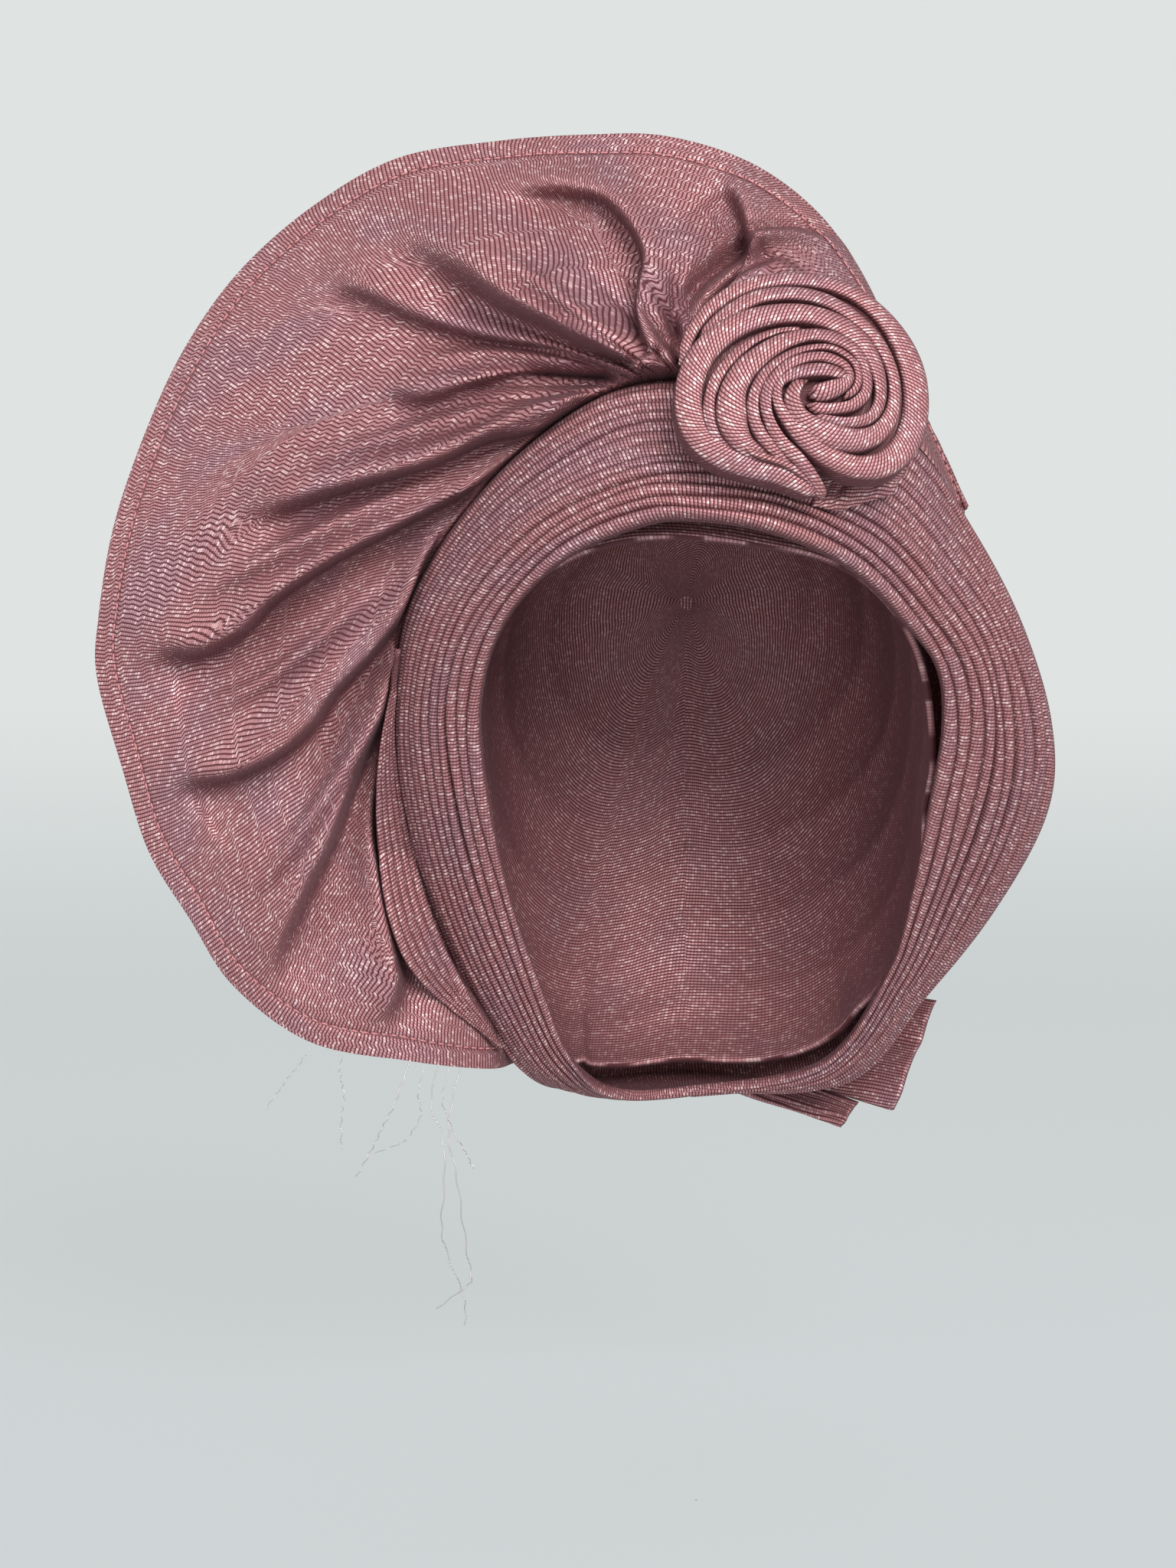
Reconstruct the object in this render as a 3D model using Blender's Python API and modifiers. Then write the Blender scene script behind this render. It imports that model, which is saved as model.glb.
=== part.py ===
"""A pleated turban head wrap in rose cloth: crown, pleated face band, fan, spiral rosette, nape knot and tails.

The wearer faces -Y, +X is the wearer's left and +Z is up. The origin is the middle of the head where the
wrap grips it. Tables and named sizes are in millimetres, and MM turns them into Blender's metres.
"""

import math

import bmesh
import bpy
import numpy as np

MM = 0.001
WRAP_NAME = "turban_head_wrap"

# The head that the wrap is made for: a rounded box, half sizes and centre.
HEAD_CENTRE = np.array([0.0, 0.0, -40.0])
HEAD_HALF_SIZE = np.array([75.5, 97.0, 112.0])
HEAD_ROUNDNESS = 2.5
# The way back and up through the face opening, square to the plane that the opening lies in.
OPENING_BACK = np.array([0.0, 0.76, 0.65])

CROWN_WALL = 2.4
CROWN_SETBACK = 8.9
CROWN_FOLD_HEIGHT = 1.3
CROWN_FOLDS = 9
CROWN_COLUMNS = 40
CROWN_RINGS = 9

BAND_WALL = 2.2
BAND_STATIONS = 50
PLEATS = 12
PLEAT_HEIGHT = 1.5
RETURN_HEIGHT = 7.8
RETURN_STEPS = 5

FAN_WALL = 1.6
FAN_COLUMNS = 66
FAN_ROWS = 13
FAN_ROOT_GAP = 1.4
FAN_PUFF = 5.0
KNOT_STATION = 9.8
KNOT_SPREAD = 0.9
KNOT_LIFT = np.array([0.0, -2.0, 1.0])

ROSETTE_CENTRE = np.array([25.5, -88.7, 82.5])
ROSETTE_AXIS = np.array([0.1156, -0.963, 0.241])
ROSETTE_HALF_WIDTH = 38.0
ROSETTE_HALF_HEIGHT = 32.5
ROSETTE_SIDE = 13.0
ROSETTE_DOME = 13.0
ROSETTE_TURNS = 4.25
ROSETTE_GROOVE = 3.4
ROSETTE_COLUMNS = 32
ROSETTE_RINGS = 24

TAIL_WALL = 2.4
END_COLUMNS = 9
END_ROWS = 7
THREAD_DIAMETER = 0.6

ROSE = (0.42, 0.19, 0.20, 1.0)
ROSE_LIGHT = (0.50, 0.26, 0.27, 1.0)
ROSE_DARK = (0.30, 0.13, 0.14, 1.0)
SILVER_ROSE = (0.62, 0.52, 0.52, 1.0)

# Face band, a closed loop: the nape first, up the wearer's right side, over the brow and down the left.
# Columns: inner edge x, y, z; outer edge x, y, z; how far the pleated face is domed.
BAND = (
    (0, 60, -150, 0, 86, -146, 2),
    (-28, 50, -149, -38, 70, -147, 2),
    (-43, 30, -134, -58, 44, -141, 3),
    (-52, 12, -111, -75, 28, -117, 4),
    (-63, -8, -77, -92, 13, -80, 5),
    (-70, -30, -42, -101, -2, -38, 6),
    (-72, -46, -12, -101, -15, -5, 6),
    (-64, -64, 13, -93, -32, 26, 5),
    (-45, -84, 32, -66, -56, 60, 3),
    (-20, -96, 42, -34, -77, 81, 0),
    (-3, -99, 43, -4, -86, 85, -1),
    (20, -98, 39, 33, -82, 82, 0),
    (44, -86, 29, 64, -68, 70, 2),
    (63, -70, 13, 87, -46, 45, 4),
    (75, -56, -1, 106, -30, 15, 6),
    (78, -43, -20, 118, -14, -17, 8),
    (76, -28, -43, 119, 0, -46, 8),
    (73, -6, -74, 104, 16, -80, 6),
    (67, 14, -103, 82, 34, -112, 4),
    (46, 42, -138, 56, 60, -145, 3),
)

# How far back over the head the band's cloth runs behind its outer edge, by station.
RETURN_REACH_BROW = 62.0
RETURN_REACH_NAPE = 45.0

# Fan, a row for each line from its gathered root to its rim.
# Columns: rim x, y, z; station of the band that the root is at; sideways bow of the line.
FAN = (
    (87, -37, 54, 12.9, 0),
    (70, -44, 88, 12.4, 0),
    (53, -46, 126, 11.6, 0),
    (36, -50, 148, 10.9, 0),
    (14, -52, 163, 10.4, 0),
    (-12, -52, 171, 10.15, 0),
    (-37, -50, 172, 10.0, 0),
    (-66, -46, 171, 9.85, 0),
    (-99, -40, 167, 9.7, 0),
    (-127, -34, 153, 9.55, 0),
    (-152, -28, 133, 9.4, 0),
    (-171, -22, 109, 9.25, 0),
    (-185, -17, 82, 9.05, 0),
    (-197, -12, 50, 8.8, 0),
    (-203, -8, 19, 8.5, -1),
    (-204, -5, -1, 8.2, -2),
    (-196, -3, -31, 7.7, -3),
    (-187, -2, -60, 7.25, -4),
    (-173, -2, -83, 6.9, -5),
    (-158, -2, -106, 6.5, -6),
    (-132, -2, -125, 5.9, -6),
    (-99, 2, -132, 5.1, -6),
    (-72, 22, -137, 4.2, -6),
    (-63, 46, -137.5, 3.3, -4),
)

# Tucks of the fan, each a line seen from the front, from the knot outwards.
# Columns: depth; width at the knot, at the end; x, z of four points of the line.
FAN_TUCKS = (
    (7, 3, 6, (-11, 95), (0, 115), (12, 128), (3, 149)),
    (7, 3, 8, (-17, 96), (-23, 110), (-24, 133), (-52, 152)),
    (9, 3, 9, (-20, 90), (-46, 102), (-84, 120), (-113, 142)),
    (6, 3, 9, (-24, 87), (-50, 89), (-76, 85), (-101, 82)),
    (8, 3, 9, (-30, 82), (-75, 69), (-122, 54), (-165, 43)),
    (8, 3, 10, (-52, 70), (-97, 43), (-141, 12), (-196, -4)),
    (9, 3, 10, (-78, 50), (-107, 5), (-143, -30), (-184, -47)),
    (7, 3, 9, (-97, 20), (-115, -20), (-134, -65), (-147, -106)),
    (6, 3, 9, (-102, -12), (-108, -55), (-101, -97), (-115, -121)),
)
TUCK_SAMPLES = 40

# Folded ends at the nape. Columns: x, y, z of the upper edge, then of the lower edge, root to tip.
OUTER_TAIL = (
    (13.4, 102.5, -113, 13.4, 102.0, -137),
    (42, 99, -112, 37, 97, -146),
    (68, 82, -114, 58, 80, -153),
    (91, 64, -117, 75, 63, -157),
)
INNER_TAIL = (
    (5, 102.5, -138.3, 4, 100, -148),
    (30, 96, -147, 26, 92, -156),
    (48, 83, -151, 43, 80, -160),
    (63, 71, -155, 56, 68, -164),
)

NAPE_KNOT_CENTRE = (-4, 102.6, -124)
NAPE_KNOT_SIZE = (34, 17, 33)

# The rosette's tucked end. Columns: station of the band; across the band and above it, upper edge, then lower.
ROSETTE_END = (
    (11.25, 0.46, 2.9, 0.22, 3.8),
    (11.55, 0.58, 4.2, 0.28, 3.8),
    (11.95, 0.75, 5.2, 0.55, 3.4),
)

# Loose yarns under the hem. Columns: x, y, z, from the hem down.
LONG_THREAD = (
    (-81.5, 11, -136.0), (-84, 8, -147), (-85, 4, -158), (-82, 0, -171), (-80, 0, -186),
    (-78, 1, -200), (-77, 1, -207), (-81, 1, -211), (-89, 2, -217),
)
MIDDLE_THREAD = (
    (-89, 6.4, -134.4), (-91, 4, -147), (-87, 1, -158), (-86, -2, -172), (-87, -2, -186),
    (-86, -1, -195), (-81, -1, -208), (-79, -1, -215), (-79, -1, -222),
)
SIDE_THREAD = (
    (-98.5, 2.0, -132.9), (-103, -3, -146), (-107, -3, -154), (-111, -3, -162), (-116, -3, -171),
)
THREAD_POINTS = 12


def clear_scene():
    for obj in list(bpy.data.objects):
        bpy.data.objects.remove(obj, do_unlink=True)


def cloth_material(name, colour, roughness):
    material = bpy.data.materials.new(name)
    material.use_nodes = True
    shader = material.node_tree.nodes["Principled BSDF"]
    shader.inputs["Base Color"].default_value = colour
    shader.inputs["Roughness"].default_value = roughness
    shader.inputs["Metallic"].default_value = 0.15
    return material


def smooth_rows(table, at, closed=False):
    """Values of a table between its rows, on the curve that passes smoothly through every row."""
    rows = np.array(table, float)
    count = len(rows)
    at = np.asarray(at, float)
    if closed:
        at = at % count
        first = np.floor(at).astype(int)
        near = [rows[(first + step) % count] for step in (-1, 0, 1, 2)]
    else:
        at = np.clip(at, 0, count - 1)
        first = np.minimum(np.floor(at).astype(int), count - 2)
        padded = np.vstack([2 * rows[0] - rows[1], rows, 2 * rows[-1] - rows[-2]])
        near = [padded[first + step] for step in (0, 1, 2, 3)]
    before, start, end, after = near
    part = (at - first)[..., None]
    return 0.5 * (
        2 * start
        + (end - before) * part
        + (2 * before - 5 * start + 4 * end - after) * part**2
        + (3 * start - before - 3 * end + after) * part**3
    )


def unit(vectors):
    return vectors / np.linalg.norm(vectors, axis=-1, keepdims=True)


def on_head(points, height):
    """The points moved along their line from the head's centre to a height above the head."""
    ray = points - HEAD_CENTRE
    share = np.abs(ray / HEAD_HALF_SIZE) ** HEAD_ROUNDNESS
    level = share.sum(-1, keepdims=True) ** (1 / HEAD_ROUNDNESS)
    return HEAD_CENTRE + ray / level + unit(ray) * height


def height_above_head(points):
    """How far the points are above the head, along their line from its centre."""
    return np.linalg.norm(points - on_head(points, 0.0), axis=-1, keepdims=True)


def band_edges(station):
    rows = smooth_rows(BAND, station, closed=True)
    return rows[..., 0:3], rows[..., 3:6], rows[..., 6:7]


def band_along(station):
    """Unit direction of the band's outer edge at a station."""
    step = 0.05
    _, ahead, _ = band_edges(station + step)
    _, behind, _ = band_edges(station - step)
    return unit(ahead - behind)


def band_front(station, across):
    """A point on the band's face, 0 at its inner edge and 1 at its outer edge, without pleats."""
    inner, outer, dome = band_edges(station)
    across = np.asarray(across, float)[..., None]
    out = unit(np.cross(band_along(station), outer - inner))
    return inner + (outer - inner) * across + out * dome * 4 * across * (1 - across)


def band_return(station, across):
    """A point on the cloth that runs back from the outer edge, 0, to the crown of the head, 1."""
    inner, outer, _ = band_edges(station)
    across = np.asarray(across, float)[..., None]
    toward_brow = 0.5 - 0.5 * np.cos(2 * math.pi * np.asarray(station)[..., None] / len(BAND))
    reach = RETURN_REACH_NAPE + (RETURN_REACH_BROW - RETURN_REACH_NAPE) * toward_brow
    landing = on_head((inner + outer) / 2 + OPENING_BACK * reach, RETURN_HEIGHT)
    height = RETURN_HEIGHT + (height_above_head(outer) - RETURN_HEIGHT) * (1 - across**1.6)
    return on_head(outer + (landing - outer) * across, height)


def surface_normals(points, closed_columns):
    """Unit normals of a grid of points [column, row], pointing to the side of columns crossed with rows."""
    if closed_columns:
        along = np.roll(points, -1, axis=0) - np.roll(points, 1, axis=0)
    else:
        along = np.gradient(points, axis=0)
    return unit(np.cross(along, np.gradient(points, axis=1)))


def put_in_collection(obj, collection, material, parent):
    for other in list(obj.users_collection):
        other.objects.unlink(obj)
    collection.objects.link(obj)
    obj.data.materials.clear()
    obj.data.materials.append(material)
    obj.parent = parent
    return obj


def object_from_bmesh(name, shape, kit, material):
    mesh = bpy.data.meshes.new(name)
    shape.to_mesh(mesh)
    shape.free()
    mesh.shade_smooth()
    obj = bpy.data.objects.new(name, mesh)
    return put_in_collection(obj, kit["collection"], kit[material], kit["root"])


def sheet_from_grid(name, points, wall, kit, material, towards=1.0):
    """A cloth sheet: a grid primitive laid on points [column, row], given its wall by Solidify."""
    columns, rows = points.shape[:2]
    shape = bmesh.new()
    bmesh.ops.create_grid(shape, x_segments=columns - 1, y_segments=rows - 1, size=0.5)
    for vertex in shape.verts:
        column = round((vertex.co.x + 0.5) * (columns - 1))
        row = round((vertex.co.y + 0.5) * (rows - 1))
        vertex.co = points[column, row] * MM
    obj = object_from_bmesh(name, shape, kit, material)
    solidify = obj.modifiers.new("cloth wall", "SOLIDIFY")
    solidify.thickness = wall * MM
    solidify.offset = towards
    return obj


def make_crown(kit):
    """The cloth wound over the head, a dome from behind the face band to a point high at the back."""
    shape = bmesh.new()
    bmesh.ops.create_uvsphere(shape, u_segments=CROWN_COLUMNS, v_segments=2 * CROWN_RINGS, radius=1.0)
    lower = [vertex for vertex in shape.verts if vertex.co.z < -1e-4]
    bmesh.ops.delete(shape, geom=lower, context="VERTS")
    across = np.array([vertex.co for vertex in shape.verts])
    turn = np.arctan2(across[:, 1], across[:, 0]) / (2 * math.pi)
    height = 2 / math.pi * np.arcsin(np.clip(across[:, 2], 0, 1))[:, None]
    inner, _, _ = band_edges(turn * len(BAND))
    rim = inner + OPENING_BACK * CROWN_SETBACK
    rim_way = unit(rim - HEAD_CENTRE)
    way = unit(rim_way * np.cos(height * math.pi / 2) + OPENING_BACK * np.sin(height * math.pi / 2))
    folds = 0.5 - 0.5 * np.cos(2 * math.pi * CROWN_FOLDS * (height[:, 0] + 0.12 * np.sin(4 * math.pi * turn)))
    fade = np.sin(math.pi * np.clip(height[:, 0] * 1.15, 0, 1))
    rim_height = np.clip(height_above_head(rim), 0, 2) * np.clip(1 - 3 * height, 0, 1)
    placed = on_head(HEAD_CENTRE + way * HEAD_HALF_SIZE[0], CROWN_FOLD_HEIGHT * (folds * fade)[:, None] + rim_height)
    for vertex, point in zip(shape.verts, placed):
        vertex.co = point * MM
    bmesh.ops.recalc_face_normals(shape, faces=shape.faces)
    obj = object_from_bmesh("crown_wrap", shape, kit, "rose_dark")
    solidify = obj.modifiers.new("cloth wall", "SOLIDIFY")
    solidify.thickness = CROWN_WALL * MM
    solidify.offset = 1.0
    return obj


def band_section_surface(stations):
    """Face and return of the band as one grid [station, point], and the pleats' height at each point."""
    pleat_steps = np.linspace(0, 1, 2 * PLEATS + 1)
    ridges = np.where(np.arange(2 * PLEATS + 1) % 2 == 1, PLEAT_HEIGHT, 0.0)
    return_steps = np.linspace(0, 1, RETURN_STEPS + 1)[1:]
    front = [band_front(stations, np.full(len(stations), step)) for step in pleat_steps]
    back = [band_return(stations, np.full(len(stations), step)) for step in return_steps]
    return np.stack(front + back, axis=1), np.concatenate([ridges, np.zeros(RETURN_STEPS)])


def make_band(kit):
    """The pleated band round the face: a torus primitive laid on the section at each station."""
    stations = np.linspace(0, len(BAND), BAND_STATIONS, endpoint=False)
    surface, heights = band_section_surface(stations)
    outward = surface_normals(surface, closed_columns=True)
    outer_wall = surface + outward * heights[:, None]
    last = surface.shape[1] - 1
    behind_return = np.arange(last, 2 * PLEATS, -2)
    behind_face = np.arange(2 * PLEATS, -1, -4)
    picks = np.concatenate([behind_return, behind_face])
    inner_wall = (surface - outward * BAND_WALL)[:, picks]
    section = np.concatenate([outer_wall, inner_wall], axis=1)
    bpy.ops.mesh.primitive_torus_add(major_segments=BAND_STATIONS, minor_segments=section.shape[1])
    obj = bpy.context.object
    obj.name = "pleated_band"
    obj.data.name = "pleated_band"
    obj.data.vertices.foreach_set("co", (section * MM).reshape(-1))
    shape = bmesh.new()
    shape.from_mesh(obj.data)
    bmesh.ops.recalc_face_normals(shape, faces=shape.faces)
    shape.to_mesh(obj.data)
    shape.free()
    obj.data.shade_smooth()
    return put_in_collection(obj, kit["collection"], kit["rose"], kit["root"])


def tuck_depth(points):
    """How deep the fan's tucks push each point back, from its distance to each tuck's line."""
    seen = points[..., [0, 2]].reshape(-1, 2)
    depth = np.zeros(len(seen))
    share = np.linspace(0, 1, TUCK_SAMPLES)
    for deep, width_in, width_out, *line in FAN_TUCKS:
        path = smooth_rows(line, share * (len(line) - 1))
        apart = np.linalg.norm(seen[:, None] - path[None], axis=2)
        nearest = apart.argmin(axis=1)
        along = share[nearest]
        width = width_in + (width_out - width_in) * along
        fade = np.sin(math.pi * np.clip(along * 0.85 + 0.12, 0, 1))
        depth += deep * fade * np.exp(-((apart.min(axis=1) / width) ** 2))
    return depth.reshape(points.shape[:-1])


def fan_surface(columns, rows):
    """The fan's front as a grid [column, row], from the root on the band's outer edge to the rim."""
    lines = smooth_rows(FAN, np.linspace(0, len(FAN) - 1, columns))
    rim, station, bow = lines[:, 0:3], lines[:, 3], lines[:, 4:5]
    behind_edge = np.full(columns, 0.12)
    root = band_return(station, behind_edge)
    outward = unit(root - HEAD_CENTRE)
    near_knot = np.exp(-(((station - KNOT_STATION) / KNOT_SPREAD) ** 2))[:, None]
    root = root + outward * FAN_ROOT_GAP + KNOT_LIFT * near_knot
    chord = rim - root
    side = unit(np.stack([-chord[:, 2], np.zeros(columns), chord[:, 0]], axis=1))
    across = np.linspace(0, 1, rows)[None, :, None]
    arch = np.sin(math.pi * across)
    surface = root[:, None] + chord[:, None] * across + side[:, None] * bow[:, None] * arch
    surface[..., 1] -= FAN_PUFF * arch[..., 0]
    clear_of_root = np.clip(across[..., 0] * 5, 0, 1) ** 2
    surface[..., 1] += tuck_depth(surface) * clear_of_root
    return surface


def make_fan(kit):
    """The wide fan of the same cloth, spread from the knot round the wearer's right side."""
    return sheet_from_grid("fan", fan_surface(FAN_COLUMNS, FAN_ROWS), FAN_WALL, kit, "rose", towards=0.0)


def rosette_frame():
    """Unit directions across, up and out of the rosette's flat back."""
    out = unit(ROSETTE_AXIS)
    across = unit(np.cross(out, [0.0, 0.0, -1.0]))
    return across, np.cross(out, across), out


def make_rosette(kit):
    """The cloth wound into a spiral: a half sphere with a rope-like groove, on a flat back."""
    shape = bmesh.new()
    bmesh.ops.create_uvsphere(shape, u_segments=ROSETTE_COLUMNS, v_segments=2 * ROSETTE_RINGS, radius=1.0)
    lower = [vertex for vertex in shape.verts if vertex.co.z < -1e-4]
    bmesh.ops.delete(shape, geom=lower, context="VERTS")
    ball = np.array([vertex.co for vertex in shape.verts])
    turn = np.arctan2(ball[:, 1], ball[:, 0]) / (2 * math.pi)
    ring = 1 - 2 / math.pi * np.arcsin(np.clip(ball[:, 2], 0, 1))
    side_share = 2 / ROSETTE_RINGS
    spread = np.clip(ring / (1 - side_share), 0, 1)
    height = ROSETTE_SIDE * np.clip((1 - ring) / side_share, 0, 1) + ROSETTE_DOME * (1 - spread**2)
    groove = np.abs(np.sin(math.pi * (ROSETTE_TURNS * spread + turn)))
    height += ROSETTE_GROOVE * (groove - 1) * np.clip(6 * spread, 0, 1) * (spread < 1)
    across, up, out = rosette_frame()
    east = np.cos(2 * math.pi * turn) * spread * ROSETTE_HALF_WIDTH
    north = np.sin(2 * math.pi * turn) * spread * ROSETTE_HALF_HEIGHT
    placed = ROSETTE_CENTRE + east[:, None] * across + north[:, None] * up + height[:, None] * out
    for vertex, point in zip(shape.verts, placed):
        vertex.co = point * MM
    bmesh.ops.holes_fill(shape, edges=[edge for edge in shape.edges if edge.is_boundary])
    bmesh.ops.recalc_face_normals(shape, faces=shape.faces)
    return object_from_bmesh("rosette", shape, kit, "rose_light")


def make_folded_end(name, upper, lower, kit, material, folds=2, fold_height=2.0):
    """A folded end of cloth as a sheet between its upper and its lower edge."""
    down = np.linspace(0, 1, END_ROWS)[None, :, None]
    surface = upper[:, None] * (1 - down) + lower[:, None] * down
    surface[..., 1] += fold_height * np.sin(2 * math.pi * folds * down[..., 0])
    return sheet_from_grid(name, surface, TAIL_WALL, kit, material, towards=0.0)


def make_tail(name, table, kit, material, folds=2, fold_height=2.0):
    edges = smooth_rows(table, np.linspace(0, len(table) - 1, END_COLUMNS))
    return make_folded_end(name, edges[:, 0:3], edges[:, 3:6], kit, material, folds, fold_height)


def above_band(station, across, lift):
    """Points a given height above the band's face."""
    step = 0.02
    along = band_along(station)
    outwards = band_front(station, across + step) - band_front(station, across - step)
    return band_front(station, across) + unit(np.cross(along, outwards)) * lift[:, None]


def make_rosette_end(kit):
    """The wedge of cloth between the rosette's lower rim and the band."""
    rows = smooth_rows(ROSETTE_END, np.linspace(0, len(ROSETTE_END) - 1, END_COLUMNS))
    station, upper_across, upper_lift, lower_across, lower_lift = rows.T
    upper = above_band(station, upper_across, upper_lift)
    lower = above_band(station, lower_across, lower_lift)
    return make_folded_end("rosette_end", upper, lower, kit, "rose_light", folds=1, fold_height=0.4)


def make_nape_knot(kit):
    """The knot that ties the wrap behind the neck: a coarse cage with a subdivision surface."""
    shape = bmesh.new()
    bmesh.ops.create_cube(shape, size=1.0)
    bmesh.ops.subdivide_edges(shape, edges=shape.edges, cuts=1, use_grid_fill=True)
    for vertex in shape.verts:
        pinch = 1 - 0.35 * abs(vertex.co.x) * 2
        vertex.co.z *= pinch
        vertex.co.x *= NAPE_KNOT_SIZE[0] * MM
        vertex.co.y *= NAPE_KNOT_SIZE[1] * MM
        vertex.co.z *= NAPE_KNOT_SIZE[2] * MM
    obj = object_from_bmesh("nape_knot", shape, kit, "rose")
    obj.location = [size * MM for size in NAPE_KNOT_CENTRE]
    subdivision = obj.modifiers.new("soft form", "SUBSURF")
    subdivision.levels = 1
    subdivision.render_levels = 1
    return obj


def make_thread(name, table, kit):
    """A ravelled yarn hanging from the hem, as a thin bevelled curve."""
    points = smooth_rows(table, np.linspace(0, len(table) - 1, THREAD_POINTS)) * MM
    curve = bpy.data.curves.new(name, "CURVE")
    curve.dimensions = "3D"
    curve.bevel_depth = THREAD_DIAMETER / 2 * MM
    curve.bevel_resolution = 2
    curve.use_fill_caps = True
    spline = curve.splines.new("POLY")
    spline.points.add(len(points) - 1)
    for target, point in zip(spline.points, points):
        target.co = (*point, 1.0)
    obj = bpy.data.objects.new(name, curve)
    return put_in_collection(obj, kit["collection"], kit["silver"], kit["root"])


def main():
    clear_scene()
    collection = bpy.data.collections.new(WRAP_NAME)
    bpy.context.scene.collection.children.link(collection)
    root = bpy.data.objects.new("head_seat", None)
    collection.objects.link(root)
    kit = {
        "collection": collection,
        "root": root,
        "rose": cloth_material("rose_cloth", ROSE, 0.45),
        "rose_light": cloth_material("rose_cloth_light", ROSE_LIGHT, 0.45),
        "rose_dark": cloth_material("rose_cloth_shaded", ROSE_DARK, 0.55),
        "silver": cloth_material("silver_yarn", SILVER_ROSE, 0.35),
    }
    make_crown(kit)
    make_band(kit)
    make_fan(kit)
    make_rosette(kit)
    make_rosette_end(kit)
    make_nape_knot(kit)
    make_tail("outer_tail", OUTER_TAIL, kit, "rose")
    make_tail("inner_tail", INNER_TAIL, kit, "rose_dark", folds=1, fold_height=1.0)
    make_thread("long_thread", LONG_THREAD, kit)
    make_thread("middle_thread", MIDDLE_THREAD, kit)
    make_thread("side_thread", SIDE_THREAD, kit)


main()
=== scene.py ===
"""Dresses a turban head wrap in rose cloth: crown, pleated face band, fan, rosette, tied ends and yarns.

The wearer faces -Y, +X is the wearer's left and +Z is up. The origin is the middle of the head where the wrap
grips it. Tables and named sizes are in millimetres, and MM turns them into Blender's metres. Cloth patterns
follow each piece's own UV map, which is also in millimetres: across the ribs of the weave, then along them.
"""
import math

import bpy
import numpy as np
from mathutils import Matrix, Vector


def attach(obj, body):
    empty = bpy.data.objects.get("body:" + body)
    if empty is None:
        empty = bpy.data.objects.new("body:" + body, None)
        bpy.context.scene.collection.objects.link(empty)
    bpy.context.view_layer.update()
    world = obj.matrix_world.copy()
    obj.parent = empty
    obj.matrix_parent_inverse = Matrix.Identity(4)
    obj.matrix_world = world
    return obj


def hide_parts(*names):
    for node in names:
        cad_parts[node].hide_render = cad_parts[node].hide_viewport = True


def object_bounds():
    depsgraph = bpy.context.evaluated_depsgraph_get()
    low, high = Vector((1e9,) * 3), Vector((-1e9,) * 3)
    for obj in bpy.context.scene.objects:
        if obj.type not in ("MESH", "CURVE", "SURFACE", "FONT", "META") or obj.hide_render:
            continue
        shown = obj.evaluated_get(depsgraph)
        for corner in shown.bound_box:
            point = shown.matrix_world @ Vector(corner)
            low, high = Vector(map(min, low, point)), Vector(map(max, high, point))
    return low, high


bl_info = {
    "name": "Turban head wrap",
    "version": (1, 0, 0),
    "blender": (4, 5, 0),
    "location": "3D View > Sidebar > Head wrap",
    "description": "Builds a pleated turban head wrap with a fan and a rosette around its solid frame",
    "category": "Add Mesh",
}

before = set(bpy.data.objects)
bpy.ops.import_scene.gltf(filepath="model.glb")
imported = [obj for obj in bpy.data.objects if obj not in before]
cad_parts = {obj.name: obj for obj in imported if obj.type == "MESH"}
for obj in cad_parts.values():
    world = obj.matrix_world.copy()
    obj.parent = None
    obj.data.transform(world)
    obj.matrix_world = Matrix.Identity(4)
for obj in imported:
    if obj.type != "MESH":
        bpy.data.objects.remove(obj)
SOLID_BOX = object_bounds()
MM = 0.001

# The head that the wrap is made for: a rounded box, half sizes and centre.
HEAD_CENTRE = np.array([0.0, 0.0, -40.0])
HEAD_HALF_SIZE = np.array([75.5, 97.0, 112.0])
HEAD_ROUNDNESS = 2.5  # exponent of the rounded box
# The way back and up through the face opening, square to the plane that the opening lies in.
OPENING_BACK = np.array([0.0, 0.76, 0.65])
CROWN_SETBACK = 8.9

# Face band, a closed loop: the nape first, up the wearer's right side, over the brow and down the left.
# Columns: inner edge x, y, z; outer edge x, y, z; how far the pleated face is domed.
BAND = (
    (0, 60, -150, 0, 86, -146, 2),
    (-28, 50, -149, -38, 70, -147, 2),
    (-43, 30, -134, -58, 44, -141, 3),
    (-52, 12, -111, -75, 28, -117, 4),
    (-63, -8, -77, -92, 13, -80, 5),
    (-70, -30, -42, -101, -2, -38, 6),
    (-72, -46, -12, -101, -15, -5, 6),
    (-64, -64, 13, -93, -32, 26, 5),
    (-45, -84, 32, -66, -56, 60, 3),
    (-20, -96, 42, -34, -77, 81, 0),
    (-3, -99, 43, -4, -86, 85, -1),
    (20, -98, 39, 33, -82, 82, 0),
    (44, -86, 29, 64, -68, 70, 2),
    (63, -70, 13, 87, -46, 45, 4),
    (75, -56, -1, 106, -30, 15, 6),
    (78, -43, -20, 118, -14, -17, 8),
    (76, -28, -43, 119, 0, -46, 8),
    (73, -6, -74, 104, 16, -80, 6),
    (67, 14, -103, 82, 34, -112, 4),
    (46, 42, -138, 56, 60, -145, 3),
)
PLEATS = 12
# The cloth behind the band lands on the crown at this height, after this reach at the brow and at the nape.
RETURN_HEIGHT = 7.8
RETURN_REACH_BROW = 62.0
RETURN_REACH_NAPE = 45.0
# Pleats by station of the band. Columns: station; height of the inner five; height of the others; squareness.
PLEAT_FORM = (
    (0, 1.5, 1.5, 2.4),
    (4, 1.6, 1.6, 2.4),
    (7, 1.8, 1.3, 2.6),
    (9, 2.8, 0.9, 2.6),
    (11, 3.0, 0.9, 2.6),
    (13, 2.3, 1.5, 2.4),
    (15, 2.0, 2.2, 2.3),
    (17, 1.9, 2.0, 2.3),
    (19, 1.6, 1.6, 2.4),
)
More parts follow.
